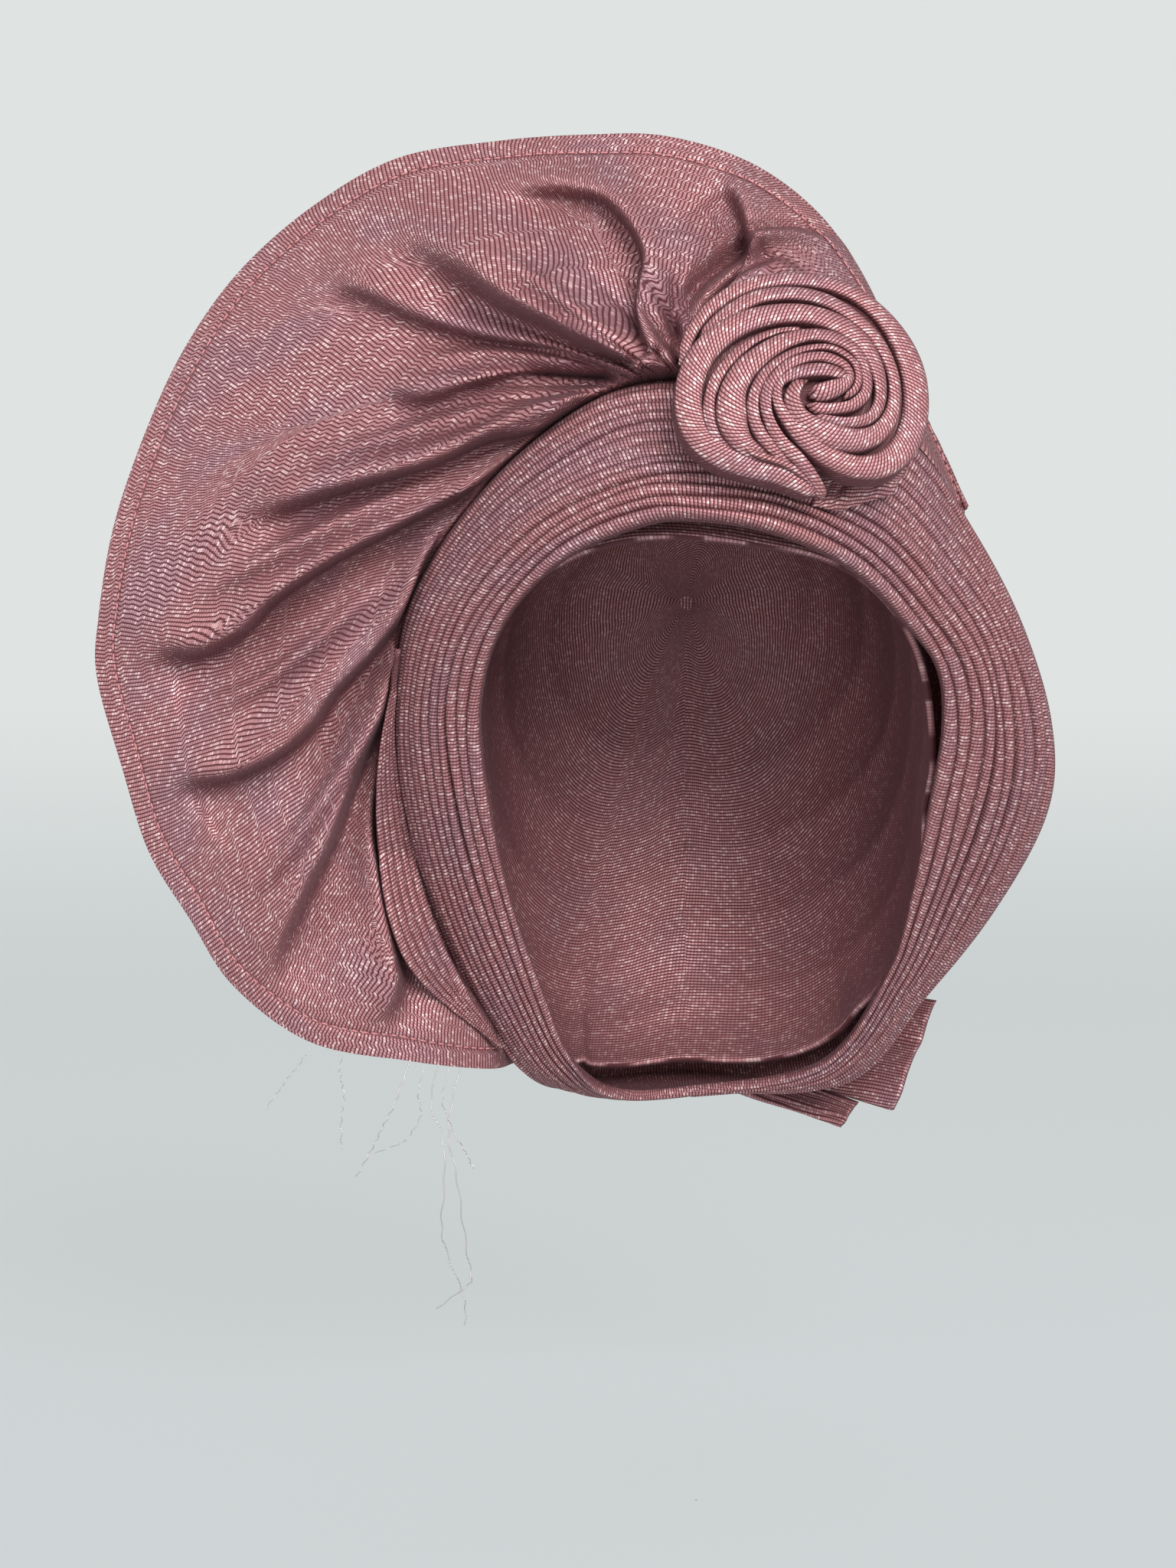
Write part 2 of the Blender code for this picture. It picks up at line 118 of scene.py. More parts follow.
# Slits that gape between pleats. Columns: pleat line, station of the middle, half length in stations, depth.
SLITS = (
    (4, 15.9, 0.9, 2.2),
    (6, 15.2, 1.4, 3.0),
    (8, 14.8, 1.2, 3.4),
    (9, 16.2, 0.8, 2.4),
    (10, 14.3, 0.9, 2.6),
    (7, 17.0, 0.9, 2.0),
    (5, 7.3, 0.7, 1.2),
    (9, 8.4, 0.9, 1.2),
    (10, 6.0, 1.0, 1.4),
    (3, 5.0, 0.8, 1.2),
)

# Half width of a slit, in pleats.
SLIT_WIDTH = 0.17

# Fan, a row for each line from its gathered root to its rim.
# Columns: rim x, y, z; station of the band that the root is at; sideways bow of the line.
FAN = (
    (87, -37, 54, 12.9, 0),
    (70, -44, 88, 12.4, 0),
    (53, -46, 126, 11.6, 0),
    (36, -50, 148, 10.9, 0),
    (14, -52, 163, 10.4, 0),
    (-12, -52, 171, 10.15, 0),
    (-37, -50, 172, 10.0, 0),
    (-66, -46, 171, 9.85, 0),
    (-99, -40, 167, 9.7, 0),
    (-127, -34, 153, 9.55, 0),
    (-152, -28, 133, 9.4, 0),
    (-171, -22, 109, 9.25, 0),
    (-185, -17, 82, 9.05, 0),
    (-197, -12, 50, 8.8, 0),
    (-203, -8, 19, 8.5, -1),
    (-204, -5, -1, 8.2, -2),
    (-196, -3, -31, 7.7, -3),
    (-187, -2, -60, 7.25, -4),
    (-173, -2, -83, 6.9, -5),
    (-158, -2, -106, 6.5, -6),
    (-132, -2, -125, 5.9, -6),
    (-99, 2, -132, 5.1, -4),
    (-72, 22, -137, 4.2, 0),
    (-63, 46, -137.5, 3.3, 7),
)
# Gap of the fan's root to the cloth below, and how far the fan's middle puffs out to the front.
FAN_ROOT_GAP = 1.4
FAN_PUFF = 5.0
# The knot over the brow that the fan's cloth is gathered by: its station, half width in stations, and lift.
KNOT_STATION = 9.8
KNOT_SPREAD = 0.9
KNOT_LIFT = np.array([0.0, -2.0, 1.0])
# Folds of the fan, each a line seen from the front, from the knot outwards. The cloth stands forward on the
# clockwise side of the line and drops back on the other side.
# Columns: height; edge width at the knot, at the end; spread of the ridge, of the hollow; overlap; its points.
FAN_FOLDS = (
    (10, 1.2, 4.0, 9, 12, 1.3, ((-4, 98), (3, 110), (12, 120), (20, 126), (24, 131))),
    (11, 1.2, 3.5, 9, 16, 1.4, ((-8, 96), (-2, 107), (8, 122), (13, 132), (12, 141), (9, 150), (3, 158))),
    (11, 1.2, 4.0, 10, 20, 1.4,
     ((-17, 95), (-21, 105), (-22, 113), (-20, 128), (-26, 141), (-35, 149), (-54, 152), (-72, 150))),
    (17, 1.3, 4.5, 15, 20, 1.5,
     ((-12, 86), (-24, 93), (-34, 98), (-48, 106), (-63, 114), (-78, 125), (-106, 144))),
    (8, 1.3, 4.0, 9, 12, 0.9,
     ((-28, 90), (-46, 98), (-70, 104), (-92, 112), (-112, 122), (-126, 124))),
    (11, 1.2, 4.5, 9, 11, 1.4, ((-16, 87), (-39, 90), (-53, 92), (-68, 91), (-91, 86), (-107, 92))),
    (15, 1.2, 5.0, 11, 13, 1.5,
     ((-22, 85), (-53, 75), (-69, 72), (-88, 65), (-118, 58), (-138, 53), (-157, 50))),
    (16, 1.3, 4.5, 13, 15, 1.5,
     ((-36, 79), (-53, 68), (-78, 56), (-103, 44), (-120, 36), (-140, 24), (-151, 14), (-166, 7), (-180, 6),
      (-194, -1))),
    (14, 1.3, 4.5, 12, 14, 1.4,
     ((-68, 58), (-89, 39), (-97, 23), (-109, 6), (-121, -7), (-129, -18), (-141, -28), (-157, -35),
      (-173, -38), (-180, -48))),
    (15, 1.3, 4.5, 11, 15, 1.4,
     ((-84, 44), (-97, 22), (-100, 9), (-106, -12), (-115, -34), (-123, -56), (-131, -72), (-142, -96),
      (-147, -111))),
    (10, 1.3, 4.0, 8, 11, 1.3,
     ((-98, 10), (-104, -5), (-106, -27), (-109, -52), (-107, -71), (-102, -96), (-101, -106), (-106, -116),
      (-118, -122))),
)
# Narrow ridges of the fan beside the band. Columns: height; width; points x, z.
FAN_RIDGES = (
    (3.0, 1.9, ((-60, 64), (-78, 49), (-91, 31), (-99, 12), (-104, -14), (-106, -40))),
    (2.6, 1.7, ((-72, 50), (-86, 34), (-95, 16), (-101, -10), (-103, -40), (-100, -72), (-93, -98))),
    (2.4, 1.6, ((-84, 36), (-96, 10), (-100, -20), (-98, -60), (-90, -90), (-78, -112), (-66, -128))),
    (2.0, 1.6, ((-92, 22), (-99, -4), (-101, -34), (-97, -66), (-88, -96), (-76, -118))),
    (5.5, 2.6, ((-34, 76), (-50, 68), (-66, 57), (-80, 43), (-90, 26))),
    (4.5, 2.2, ((-12, 89), (-30, 92), (-50, 96), (-70, 99), (-88, 99))),
    (5.5, 2.4, ((-11, 83), (-27, 83.5), (-45, 82), (-63, 78), (-82, 72))),
    (2.2, 1.8, ((-7, 92), (-9, 104), (-8, 118), (-4, 130))),
    (8.0, 2.6, ((-9, 98), (-5, 111), (3, 122), (14, 132), (27, 137), (44, 136))),
    (2.6, 2.6, ((-26, 97), (-38, 108), (-52, 120), (-70, 132))),
    (2.4, 2.4, ((-60, 84), (-84, 78), (-112, 72), (-138, 68))),
    (2.6, 2.6, ((-92, 58), (-118, 48), (-146, 36), (-170, 24))),
    (2.4, 2.4, ((-104, 30), (-124, 12), (-146, -4), (-168, -12))),
    (2.2, 2.2, ((-112, -20), (-128, -44), (-142, -64), (-154, -76))),
)
FOLD_STRENGTH = 1.25
# Angle between the cloth's ribs and the fan's lines.
FAN_TURN = np.radians(26)
# Width of the hem and gap between two of its stitches.
HEM_WIDTH = 7.8
STITCH_GAP = 0.9
# Gathered edge of the fan beside the band: stations, gap to the band's edge, width, height above the fan.
FAN_EDGE_STATIONS = (2.55, 6.4)
FAN_EDGE_START = 0.6
FAN_EDGE_WIDTH = 13.0
FAN_EDGE_LIFT = 1.4

# Rosette: middle of its back, the way it faces, height of its base, of its foot and of its dome above the back,
# reach of the dome, and how far its upper part is stretched upwards.
ROSETTE_CENTRE = np.array([25.5, -88.7, 82.5])
ROSETTE_AXIS = np.array([0.1156, -0.963, 0.241])
ROSETTE_BASE = 8.0
ROSETTE_FOOT = 13.0
ROSETTE_DOME = 11.0
ROSETTE_REACH = 37.0
ROSETTE_RISE = 0.09
# Outline of the rosette: distance from its middle every 30 degrees, anticlockwise from its right.
ROSETTE_OUTLINE = (38.0, 35.0, 32.5, 30.8, 32.5, 34.5, 38.0, 38.0, 31.5, 30.6, 35.0, 40.0)
# Pleats of the rosette, seen from the front about its middle. Each comes up from the brow or from behind the
# rim, goes over the top clockwise and winds into the eye. Columns: x, y, half width, lift.
ROSETTE_PLEATS = (
    ((-35.7, 5.5, 1.6, -7), (-32.5, 13.6, 2.0, -5), (-27.3, 20.3, 2.2, -4), (-20.0, 25.6, 2.4, -3),
     (-11.9, 28.9, 2.5, -3), (-1.7, 30.4, 2.5, -3), (8.6, 29.9, 2.6, -3), (17.9, 26.6, 2.9, -2),
     (25.9, 20.6, 3.3, -2), (31.9, 12.4, 3.7, -2), (35.2, 3.5, 3.9, -2), (35.8, -5.6, 4.0, -2),
     (34.4, -14.0, 4.0, -2), (30.3, -21.9, 3.9, -1), (23.6, -27.2, 3.8, 0), (15.0, -28.2, 3.6, 0),
     (6.7, -25.4, 3.3, 0), (-0.4, -20.4, 2.6, 0.5), (-5.5, -14.6, 1.9, 0.5), (-8.1, -8.9, 1.7, 0.5),
     (-7.4, -3.7, 1.8, 0.5), (-3.4, -0.9, 2.2, 0.5), (2.3, 0.6, 2.5, 0.5), (8.7, 0.7, 2.4, 0),
     (13.3, -1.0, 1.6, -1), (9.5, -3.4, 1.3, -1.5), (5.5, -4.6, 1.0, -2)),
    ((-29.5, 12.0, 1.8, -6), (-24.4, 16.8, 2.2, -3), (-18.6, 20.6, 2.5, -1), (-10.7, 23.9, 2.7, 0),
     (-0.4, 24.8, 2.7, 0), (9.2, 22.8, 2.6, 0), (17.8, 17.6, 2.4, 0), (24.3, 10.8, 2.2, 0),
     (27.9, 2.9, 2.1, 0), (28.6, -4.4, 2.1, 0), (27.1, -11.4, 2.5, 0), (22.9, -17.4, 3.1, 0),
     (16.3, -20.3, 3.5, 0), (8.6, -19.8, 3.5, 0), (2.2, -17.2, 3.0, 0), (-2.3, -13.4, 2.6, 0.5),
     (-3.7, -8.4, 2.3, 1), (-2.0, -4.3, 1.9, 1), (1.2, -2.4, 1.4, 0.5)),
    ((4.5, -36.0, 2.4, -2), (-6.8, -31.2, 2.8, -2), (-17.1, -28.6, 3.2, -1), (-26.1, -24.4, 3.8, 0),
     (-31.8, -18.2, 4.2, 0), (-34.1, -10.8, 4.5, 0), (-33.6, -3.1, 4.5, 0), (-30.7, 4.6, 4.3, 0),
     (-25.4, 10.4, 3.9, 0), (-18.4, 14.7, 3.6, 0), (-9.4, 17.5, 3.4, 0), (0.9, 18.2, 3.3, 0),
     (10.5, 16.0, 3.1, 0), (18.1, 11.1, 2.8, 0), (22.4, 4.8, 2.5, 0), (24.0, -2.4, 2.3, 0),
     (23.2, -9.0, 2.2, 0), (19.5, -13.6, 1.9, 0), (13.1, -15.2, 1.7, 0), (6.0, -14.8, 1.6, 0),
     (1.4, -13.2, 1.2, -1)),
    ((-13.0, -27.2, 1.2, -3), (-22.4, -23.4, 1.5, -1), (-26.6, -18.8, 1.7, 0), (-28.1, -12.7, 1.8, 0),
     (-27.6, -6.3, 1.8, 0), (-25.0, -0.2, 1.8, 0), (-20.3, 5.4, 1.7, 0), (-13.9, 9.9, 1.5, 0),
     (-6.8, 12.8, 1.1, -1), (1.0, 13.9, 0.8, -2)),
    ((-9.5, -27.0, 2.0, -3), (-17.2, -22.6, 3.2, -1), (-20.8, -17.4, 3.9, 0), (-21.7, -11.4, 4.2, 0),
     (-20.7, -5.0, 4.0, 0), (-16.8, 1.4, 3.6, 0), (-10.7, 6.4, 3.0, 0), (-3.0, 10.2, 2.6, 0),
     (5.4, 11.7, 2.4, 0), (13.2, 9.9, 2.2, 0), (18.1, 5.8, 2.0, 0), (19.8, 0.1, 1.8, 0),
     (19.0, -5.8, 1.8, 0), (14.8, -9.7, 1.9, 0), (9.2, -11.1, 1.9, 0), (4.1, -11.1, 1.7, -0.5),
     (0.9, -9.6, 1.2, -1.5)),
    ((2.0, -33.5, 1.0, -4), (-4.2, -28.1, 1.4, -2), (-10.7, -22.3, 1.6, 0), (-14.4, -16.6, 1.8, 0.5),
     (-15.4, -10.8, 1.8, 0.5), (-14.2, -5.0, 1.7, 0.5), (-10.7, 0.5, 1.5, 0.5), (-4.9, 5.0, 1.3, 0.5),
     (2.2, 7.5, 1.2, 0.5), (9.2, 7.8, 1.2, 0.5), (15.2, 4.8, 1.2, 0), (17.2, 0.6, 1.2, 0),
     (16.2, -4.2, 1.2, 0), (12.4, -7.6, 1.1, -1)),
    ((5.8, -37.2, 1.6, -3), (2.4, -31.6, 2.0, -1), (-2.3, -26.2, 2.0, 0), (-7.4, -21.1, 1.8, 0),
     (-10.6, -15.3, 1.7, 0.5), (-11.7, -9.5, 1.7, 0.5), (-10.4, -4.0, 1.7, 0.5), (-6.4, 0.8, 1.8, 0.5),
     (-0.4, 4.1, 1.8, 0.5), (6.7, 5.0, 1.7, 0.5), (12.6, 3.0, 1.5, 0.5), (14.6, -0.6, 1.4, 0),
     (12.3, -3.4, 2.1, 0), (6.7, -5.9, 2.7, 0), (1.7, -7.0, 1.9, -1)),
    ((-17.6, -19.5, 0.9, -1), (-16.6, -23.4, 1.3, 0), (-12.0, -25.6, 1.4, 0), (-6.0, -27.6, 1.4, -0.5),
     (-0.5, -31.0, 1.2, -1), (3.5, -35.5, 1.0, -3)),
)

# Folded ends at the nape. Columns: x, y, z of the upper edge, then of the lower edge, root to tip.
OUTER_TAIL = (
    (13.4, 102.5, -113, 13.4, 102.0, -137),
    (42, 99, -112, 37, 97, -146),
    (68, 82, -114, 58, 80, -153),
    (91, 64, -117, 75, 63, -157),
)
INNER_TAIL = (
    (5, 102.5, -138.3, 4, 100, -148),
    (30, 96, -147, 26, 92, -156),
    (48, 83, -151, 43, 80, -160),
    (63, 71, -155, 56, 68, -164),
)
NAPE_KNOT_CENTRE = np.array([-4.0, 102.6, -124.0])
NAPE_KNOT_SIZE = np.array([34.0, 17.0, 33.0])
# The rosette's tucked end. Columns: station of the band; across the band and above it: upper edge, lower edge.
ROSETTE_END = (
    (11.25, 0.46, 2.9, 0.22, 3.8),
    (11.55, 0.58, 4.2, 0.28, 3.8),
    (11.95, 0.75, 5.2, 0.55, 3.4),
)

# Loose yarns under the hem. Columns: x, y, z, from the hem down. The first three are solids of the frame too.
THREADS = {
    "long_thread": (
        (-81.5, 11, -136.0), (-84, 8, -147), (-85, 4, -158), (-82, 0, -171), (-80, 0, -186),
        (-78, 1, -200), (-77, 1, -207), (-81, 1, -211), (-89, 2, -217),
    ),
    "middle_thread": (
        (-89, 6.4, -134.4), (-91, 4, -147), (-87, 1, -158), (-86, -2, -172), (-87, -2, -186),
        (-86, -1, -195), (-81, -1, -208), (-79, -1, -215), (-79, -1, -222),
    ),
    "side_thread": (
        (-98.5, 2.0, -132.9), (-103, -3, -146), (-107, -3, -154), (-111, -3, -162), (-116, -3, -171),
    ),
}
EXTRA_THREADS = {
    "crossing_thread": (
        (-93.5, 4, -134.0), (-95, 0, -143), (-94, -3, -150), (-98, -3, -157), (-102, -3, -160),
        (-110, -3, -163),
    ),
    "short_thread": (
        (-121, -1, -129.6), (-121.5, -4, -136), (-120, -4, -143), (-121, -4, -150), (-121, -4, -161),
    ),
    "stray_thread": (
        (-132, -2, -127), (-135, -4, -132), (-139, -4, -137), (-142, -4, -141), (-147, -4, -148),
    ),
    "hooked_thread": (
        (-85, 8, -135), (-87, 4, -146), (-83, 0, -156), (-79, 0, -163), (-76, 1, -169),
    ),
}

CAMERA_PLACE = (-0.037, -0.84, -0.037)
CAMERA_LENS = 56.34
# The backdrop goes from the floor's tone to the wall's over this height, in metres. Its glow: floor, wall.
STAGE_FADE = 0.38
STAGE_GLOW = (0.50, 0.61)
# How far the floor is below the wrap. Profile of the floor and backdrop: distance from the middle, height.
FLOOR_BELOW = 60.0
STAGE_PROFILE = (
    (0.5, 0), (700, 0), (1300, 0), (1700, 40), (2050, 160), (2320, 380), (2480, 700), (2560, 1100),
    (2600, 2400),
)
# Lights, in metres. Columns: name, place, what it points at, its size, its colour.
LIGHTS = (
    ("main light", (0.58, -1.75, 0.90), (-0.02, 0, 0), (0.9, 0.9), (1.0, 0.985, 0.97)),
    ("fill light", (-1.5, -1.1, 0.3), (0.0, 0, 0), (0.9, 1.2), (0.96, 0.98, 1.0)),
    ("top light", (0.1, -0.1, 1.5), (0.0, 0, 0), (1.6, 1.6), (0.97, 0.99, 1.0)),
)
TOP_LIGHT_SHARE = 0.6

COLOUR = {"min": 0, "max": 1, "size": 3, "subtype": "COLOR"}
LENGTH = {"precision": 5, "subtype": "DISTANCE", "unit": "LENGTH"}
WALL = {"min": 0.3 * MM, "max": 3 * MM, **LENGTH}
POWER = {"min": 0, "subtype": "POWER", "unit": "POWER"}


class HeadWrapCloth(bpy.types.PropertyGroup):
    """Weave and colours of the cloth"""

    rib_pitch: bpy.props.FloatProperty(
        name="Rib pitch", description="Distance between two ribs of the weave", default=1.21 * MM,
        min=0.2 * MM, **LENGTH)
    dash_length: bpy.props.FloatProperty(
        name="Dash length", description="Distance between two bright stitches along a rib", default=1.20 * MM,
        min=0.2 * MM, **LENGTH)
    rose: bpy.props.FloatVectorProperty(
        name="Rose", description="Rose yarn", default=(0.66, 0.315, 0.325), **COLOUR)
    mauve: bpy.props.FloatVectorProperty(
        name="Mauve", description="Dark ground between the bright yarns", default=(0.120, 0.030, 0.038),
        **COLOUR)
    # Painted highlight: the colour that the luckiest stitches are mixed toward.
    glint: bpy.props.FloatVectorProperty(
        name="Glint", description="Metallic yarn where it catches the light", default=(1.0, 0.74, 0.73),
        **COLOUR)
    lilac: bpy.props.FloatVectorProperty(
        name="Lilac", description="Cool cast in patches of the cloth", default=(0.50, 0.33, 0.40),
        **COLOUR)
    stitch: bpy.props.FloatVectorProperty(
        name="Hem stitch", description="Thread that the hem is sewn with", default=(0.80, 0.32, 0.33),
        **COLOUR)
    silver: bpy.props.FloatVectorProperty(
        name="Silver yarn", description="Ravelled metallic yarn", default=(0.72, 0.68, 0.68),
        **COLOUR)


class HeadWrapSizes(bpy.types.PropertyGroup):
    """Walls and details that may be changed without moving a piece"""

    fan_wall: bpy.props.FloatProperty(
        name="Fan cloth", description="Thickness of the fan's cloth", default=1.2 * MM, **WALL)
    crown_wall: bpy.props.FloatProperty(
        name="Crown cloth", description="Thickness of the wound crown", default=2.2 * MM, **WALL)
    tail_wall: bpy.props.FloatProperty(
        name="Tail cloth", description="Thickness of the folded ends", default=2.0 * MM, **WALL)
    band_wall: bpy.props.FloatProperty(
        name="Band cloth", description="Thickness of the pleated band", default=2.2 * MM, **WALL)
    thread_diameter: bpy.props.FloatProperty(
        name="Yarn diameter", description="Diameter of a ravelled yarn", default=0.42 * MM,
        min=0.3 * MM, max=1 * MM, **LENGTH)
    stitch_length: bpy.props.FloatProperty(
        name="Stitch length", description="Length of one stitch of the hem", default=2.6 * MM,
        min=1 * MM, max=6 * MM, **LENGTH)


class HeadWrapStage(bpy.types.PropertyGroup):
    """Floor, backdrop and lights"""

    paper: bpy.props.FloatVectorProperty(
        name="Backdrop", description="Colour of the backdrop", default=(0.20, 0.21, 0.205),
        **COLOUR)
    floor: bpy.props.FloatVectorProperty(
        name="Floor", description="Colour of the floor", default=(0.13, 0.16, 0.17),
        **COLOUR)
    key_power: bpy.props.FloatProperty(
        name="Main light", description="Power of the large soft light in front", default=32.0,
        **POWER)
    fill_power: bpy.props.FloatProperty(
        name="Fill light", description="Power of the light from the other side", default=4.5,
        **POWER)
    sky: bpy.props.FloatProperty(
        name="Room light", description="Strength of the even light all round", default=0.34, min=0)


def smooth_rows(table, at, closed=False):
    """Values of a table between its rows, on the curve that passes smoothly through every row."""
    rows = np.array(table, float)
    count = len(rows)
    at = np.asarray(at, float)
    if closed:
        at = at % count
        first = np.floor(at).astype(int)
        near = [rows[(first + step) % count] for step in (-1, 0, 1, 2)]
    else:
        at = np.clip(at, 0, count - 1)
        first = np.minimum(np.floor(at).astype(int), count - 2)
        padded = np.vstack([2 * rows[0] - rows[1], rows, 2 * rows[-1] - rows[-2]])
        near = [padded[first + step] for step in (0, 1, 2, 3)]
    before, start, end, after = near
    part = (at - first)[..., None]
    return 0.5 * (
        2 * start
        + (end - before) * part
        + (2 * before - 5 * start + 4 * end - after) * part**2
        + (3 * start - before - 3 * end + after) * part**3
    )


def smooth_line(table, samples):
    """Even steps along the smooth curve through every row of a table."""
    return smooth_rows(table, np.linspace(0, len(table) - 1, samples))


def bell(distance, width):
    """Bell curve: 1 at no distance, e to the minus (distance / width) squared elsewhere."""
    return np.exp(-((distance / width) ** 2))


def grid_places(columns, rows):
    """Two values for each point of a grid [column, row]: its column's, and its row's."""
    return np.meshgrid(columns, rows, indexing="ij")


def ringed(points, axis=0):
    """A ring of points with its first line once more at its end."""
    return np.concatenate([points, np.take(points, [0], axis=axis)], axis=axis)


def unit(vectors):
    return vectors / np.linalg.norm(vectors, axis=-1, keepdims=True)


def smooth_step(low, high, value):
    share = np.clip((value - low) / (high - low), 0, 1)
    return share * share * (3 - 2 * share)


def ripple(x, y, seed, waves=6):
    """Soft noise in -1..1: the mean of sine waves whose directions and phases come from a seeded draw."""
    draw = np.random.default_rng(seed)
    turn, phase = draw.uniform(0, 2 * math.pi, (2, waves))
    size = draw.uniform(0.6, 1.7, waves)
    total = np.zeros(np.broadcast(x, y).shape)
    for one_turn, one_phase, one_size in zip(turn, phase, size):
        total += np.sin(one_size * (x * math.cos(one_turn) + y * math.sin(one_turn)) + one_phase)
    return total / math.sqrt(waves)


def on_head(points, height):
    """The points moved along their line from the head's centre to a height above the head."""
    ray = points - HEAD_CENTRE
    share = np.abs(ray / HEAD_HALF_SIZE) ** HEAD_ROUNDNESS
    level = share.sum(-1, keepdims=True) ** (1 / HEAD_ROUNDNESS)
    return HEAD_CENTRE + ray / level + unit(ray) * height


def height_above_head(points):
    """How far the points are above the head, along their line from its centre."""
    return np.linalg.norm(points - on_head(points, 0.0), axis=-1, keepdims=True)


def band_edges(station):
    rows = smooth_rows(BAND, station, closed=True)
    return rows[..., 0:3], rows[..., 3:6], rows[..., 6:7]


def band_along(station):
    """Unit direction of the band's outer edge at a station."""
    step = 0.05
    _, ahead, _ = band_edges(station + step)
    _, behind, _ = band_edges(station - step)
    return unit(ahead - behind)


def band_front(station, across):
    """A point on the band's face, 0 at its inner edge and 1 at its outer edge, without pleats."""
    inner, outer, dome = band_edges(station)
    across = np.asarray(across, float)[..., None]
    out = unit(np.cross(band_along(station), outer - inner))
    return inner + (outer - inner) * across + out * dome * 4 * across * (1 - across)


def band_return(station, across):
    """A point on the cloth that runs back from the outer edge, 0, to the crown of the head, 1."""
    inner, outer, _ = band_edges(station)
    across = np.asarray(across, float)[..., None]
    toward_brow = 0.5 - 0.5 * np.cos(2 * math.pi * np.asarray(station)[..., None] / len(BAND))
    reach = RETURN_REACH_NAPE + (RETURN_REACH_BROW - RETURN_REACH_NAPE) * toward_brow
    landing = on_head((inner + outer) / 2 + OPENING_BACK * reach, RETURN_HEIGHT)
    height = RETURN_HEIGHT + (height_above_head(outer) - RETURN_HEIGHT) * (1 - across**1.6)
    return on_head(outer + (landing - outer) * across, height)


def grid_normals(points, closed_columns=False):
    """Unit normals of a grid of points [column, row], on the side of columns crossed with rows."""
    if closed_columns:
        along = np.roll(points, -1, axis=0) - np.roll(points, 1, axis=0)
    else:
        along = np.gradient(points, axis=0)
    return unit(np.cross(along, np.gradient(points, axis=1)))


def lengths_along(points, axis):
    """Distance run along one axis of a grid of points, from its first column or row."""
    steps = np.linalg.norm(np.diff(points, axis=axis), axis=-1)
    start = np.zeros_like(np.take(steps, [0], axis=axis))
    return np.concatenate([start, np.cumsum(steps, axis=axis)], axis=axis)


def grid_corners(columns, rows, wrap_columns=False, wrap_rows=False):
    """Corners of a grid's quads as column and row numbers, [quad column, quad row, corner], turned to face
    the side of columns crossed with rows. A wrapped grid's last quad has column or row number count."""
    wide = columns if wrap_columns else columns - 1
    high = rows if wrap_rows else rows - 1
    column, row = grid_places(np.arange(wide), np.arange(high))
    column = np.stack([column, column + 1, column + 1, column], axis=-1)
    return column, np.stack([row, row, row + 1, row + 1], axis=-1)


def place_object(name, data, material=None):
    """An object in the scene, at the origin."""
    if material:
        data.materials.append(material)
    obj = bpy.data.objects.new(name, data)
    bpy.context.scene.collection.objects.link(obj)
    return obj


def mesh_of(name, points, faces, uv, material, caps=()):
    """An object at the origin from points in mm, faces of four corners, and a UV in mm for each corner.
    Caps are flat faces of many corners that close its openings."""
    mesh = bpy.data.meshes.new(name)
    faces = np.asarray(faces).reshape(-1, 4)
    sizes = np.concatenate([np.full(len(faces), 4), [len(cap) for cap in caps]]).astype(np.int32)
    loops = np.concatenate([faces.reshape(-1), *caps]).astype(np.int32)
    places = np.zeros((len(loops), 2), np.float32)
    places[:faces.size] = np.asarray(uv).reshape(-1, 2)
    places[faces.size:] = np.asarray(points).reshape(-1, 3)[loops[faces.size:]][:, [0, 2]]
    mesh.vertices.add(len(points))
    mesh.vertices.foreach_set("co", (np.asarray(points) * MM).astype(np.float32).reshape(-1))
    mesh.loops.add(len(loops))
    mesh.loops.foreach_set("vertex_index", loops)
    mesh.polygons.add(len(sizes))
    mesh.polygons.foreach_set("loop_start", np.concatenate([[0], np.cumsum(sizes)[:-1]]).astype(np.int32))
    mesh.uv_layers.new(name="cloth")
    mesh.uv_layers["cloth"].data.foreach_set("uv", places.reshape(-1))
    mesh.update(calc_edges=True)
    mesh.validate()
    mesh.shade_smooth()
    return place_object(name, mesh, material)


def grid_piece(name, points, u, v, material, flip=False, wrap_columns=False, wrap_rows=False, closed=()):
    """A piece on a grid of points [column, row]. u and v give the weave's place for each corner of each quad,
    or for each point, and then have one more column or row than points where the grid is wrapped. A grid that
    is wrapped one way can be closed with a cap at its first and last line the other way."""
    columns, rows = points.shape[:2]
    column, row = grid_corners(columns, rows, wrap_columns, wrap_rows)
    if u.ndim == 2:
        u, v = u[column, row], v[column, row]
    uv = np.stack([u, v], axis=-1)
    faces = (column % columns) * rows + row % rows
    if wrap_columns:
        rings = {"first": (np.arange(columns) * rows)[::-1], "last": np.arange(columns) * rows + rows - 1}
    else:
        rings = {"first": np.arange(rows), "last": ((columns - 1) * rows + np.arange(rows))[::-1]}
    caps = [rings[line] for line in closed]
    if flip:
        faces = faces[..., ::-1]
        uv = uv[..., ::-1, :]
        caps = [cap[::-1] for cap in caps]
    return mesh_of(name, points.reshape(-1, 3), faces, uv, material, caps)


def paint_shade(obj, painted_shade):
    """Keeps painted shade for each point, 0 to 1, deepest in folds, creases and grooves, where the yarn is
    dimmed to stand for shade.
    """
    layer = obj.data.attributes.new("painted_shade", "FLOAT", "POINT")
    layer.data.foreach_set("value", np.asarray(painted_shade, np.float32).reshape(-1))


def cloth_wall(obj, thickness, offset):
    """A wall by Solidify, which also closes the sheet along its edges."""
    solidify = obj.modifiers.new("cloth wall", "SOLIDIFY")
    solidify.thickness = thickness
    solidify.offset = offset
    solidify.use_even_offset = False
    return obj


def feed(tree, socket, value):
    """Links a socket to another node's output, or gives it a plain value."""
    if isinstance(value, bpy.types.NodeSocket):
        tree.links.new(value, socket)
    else:
        socket.default_value = value


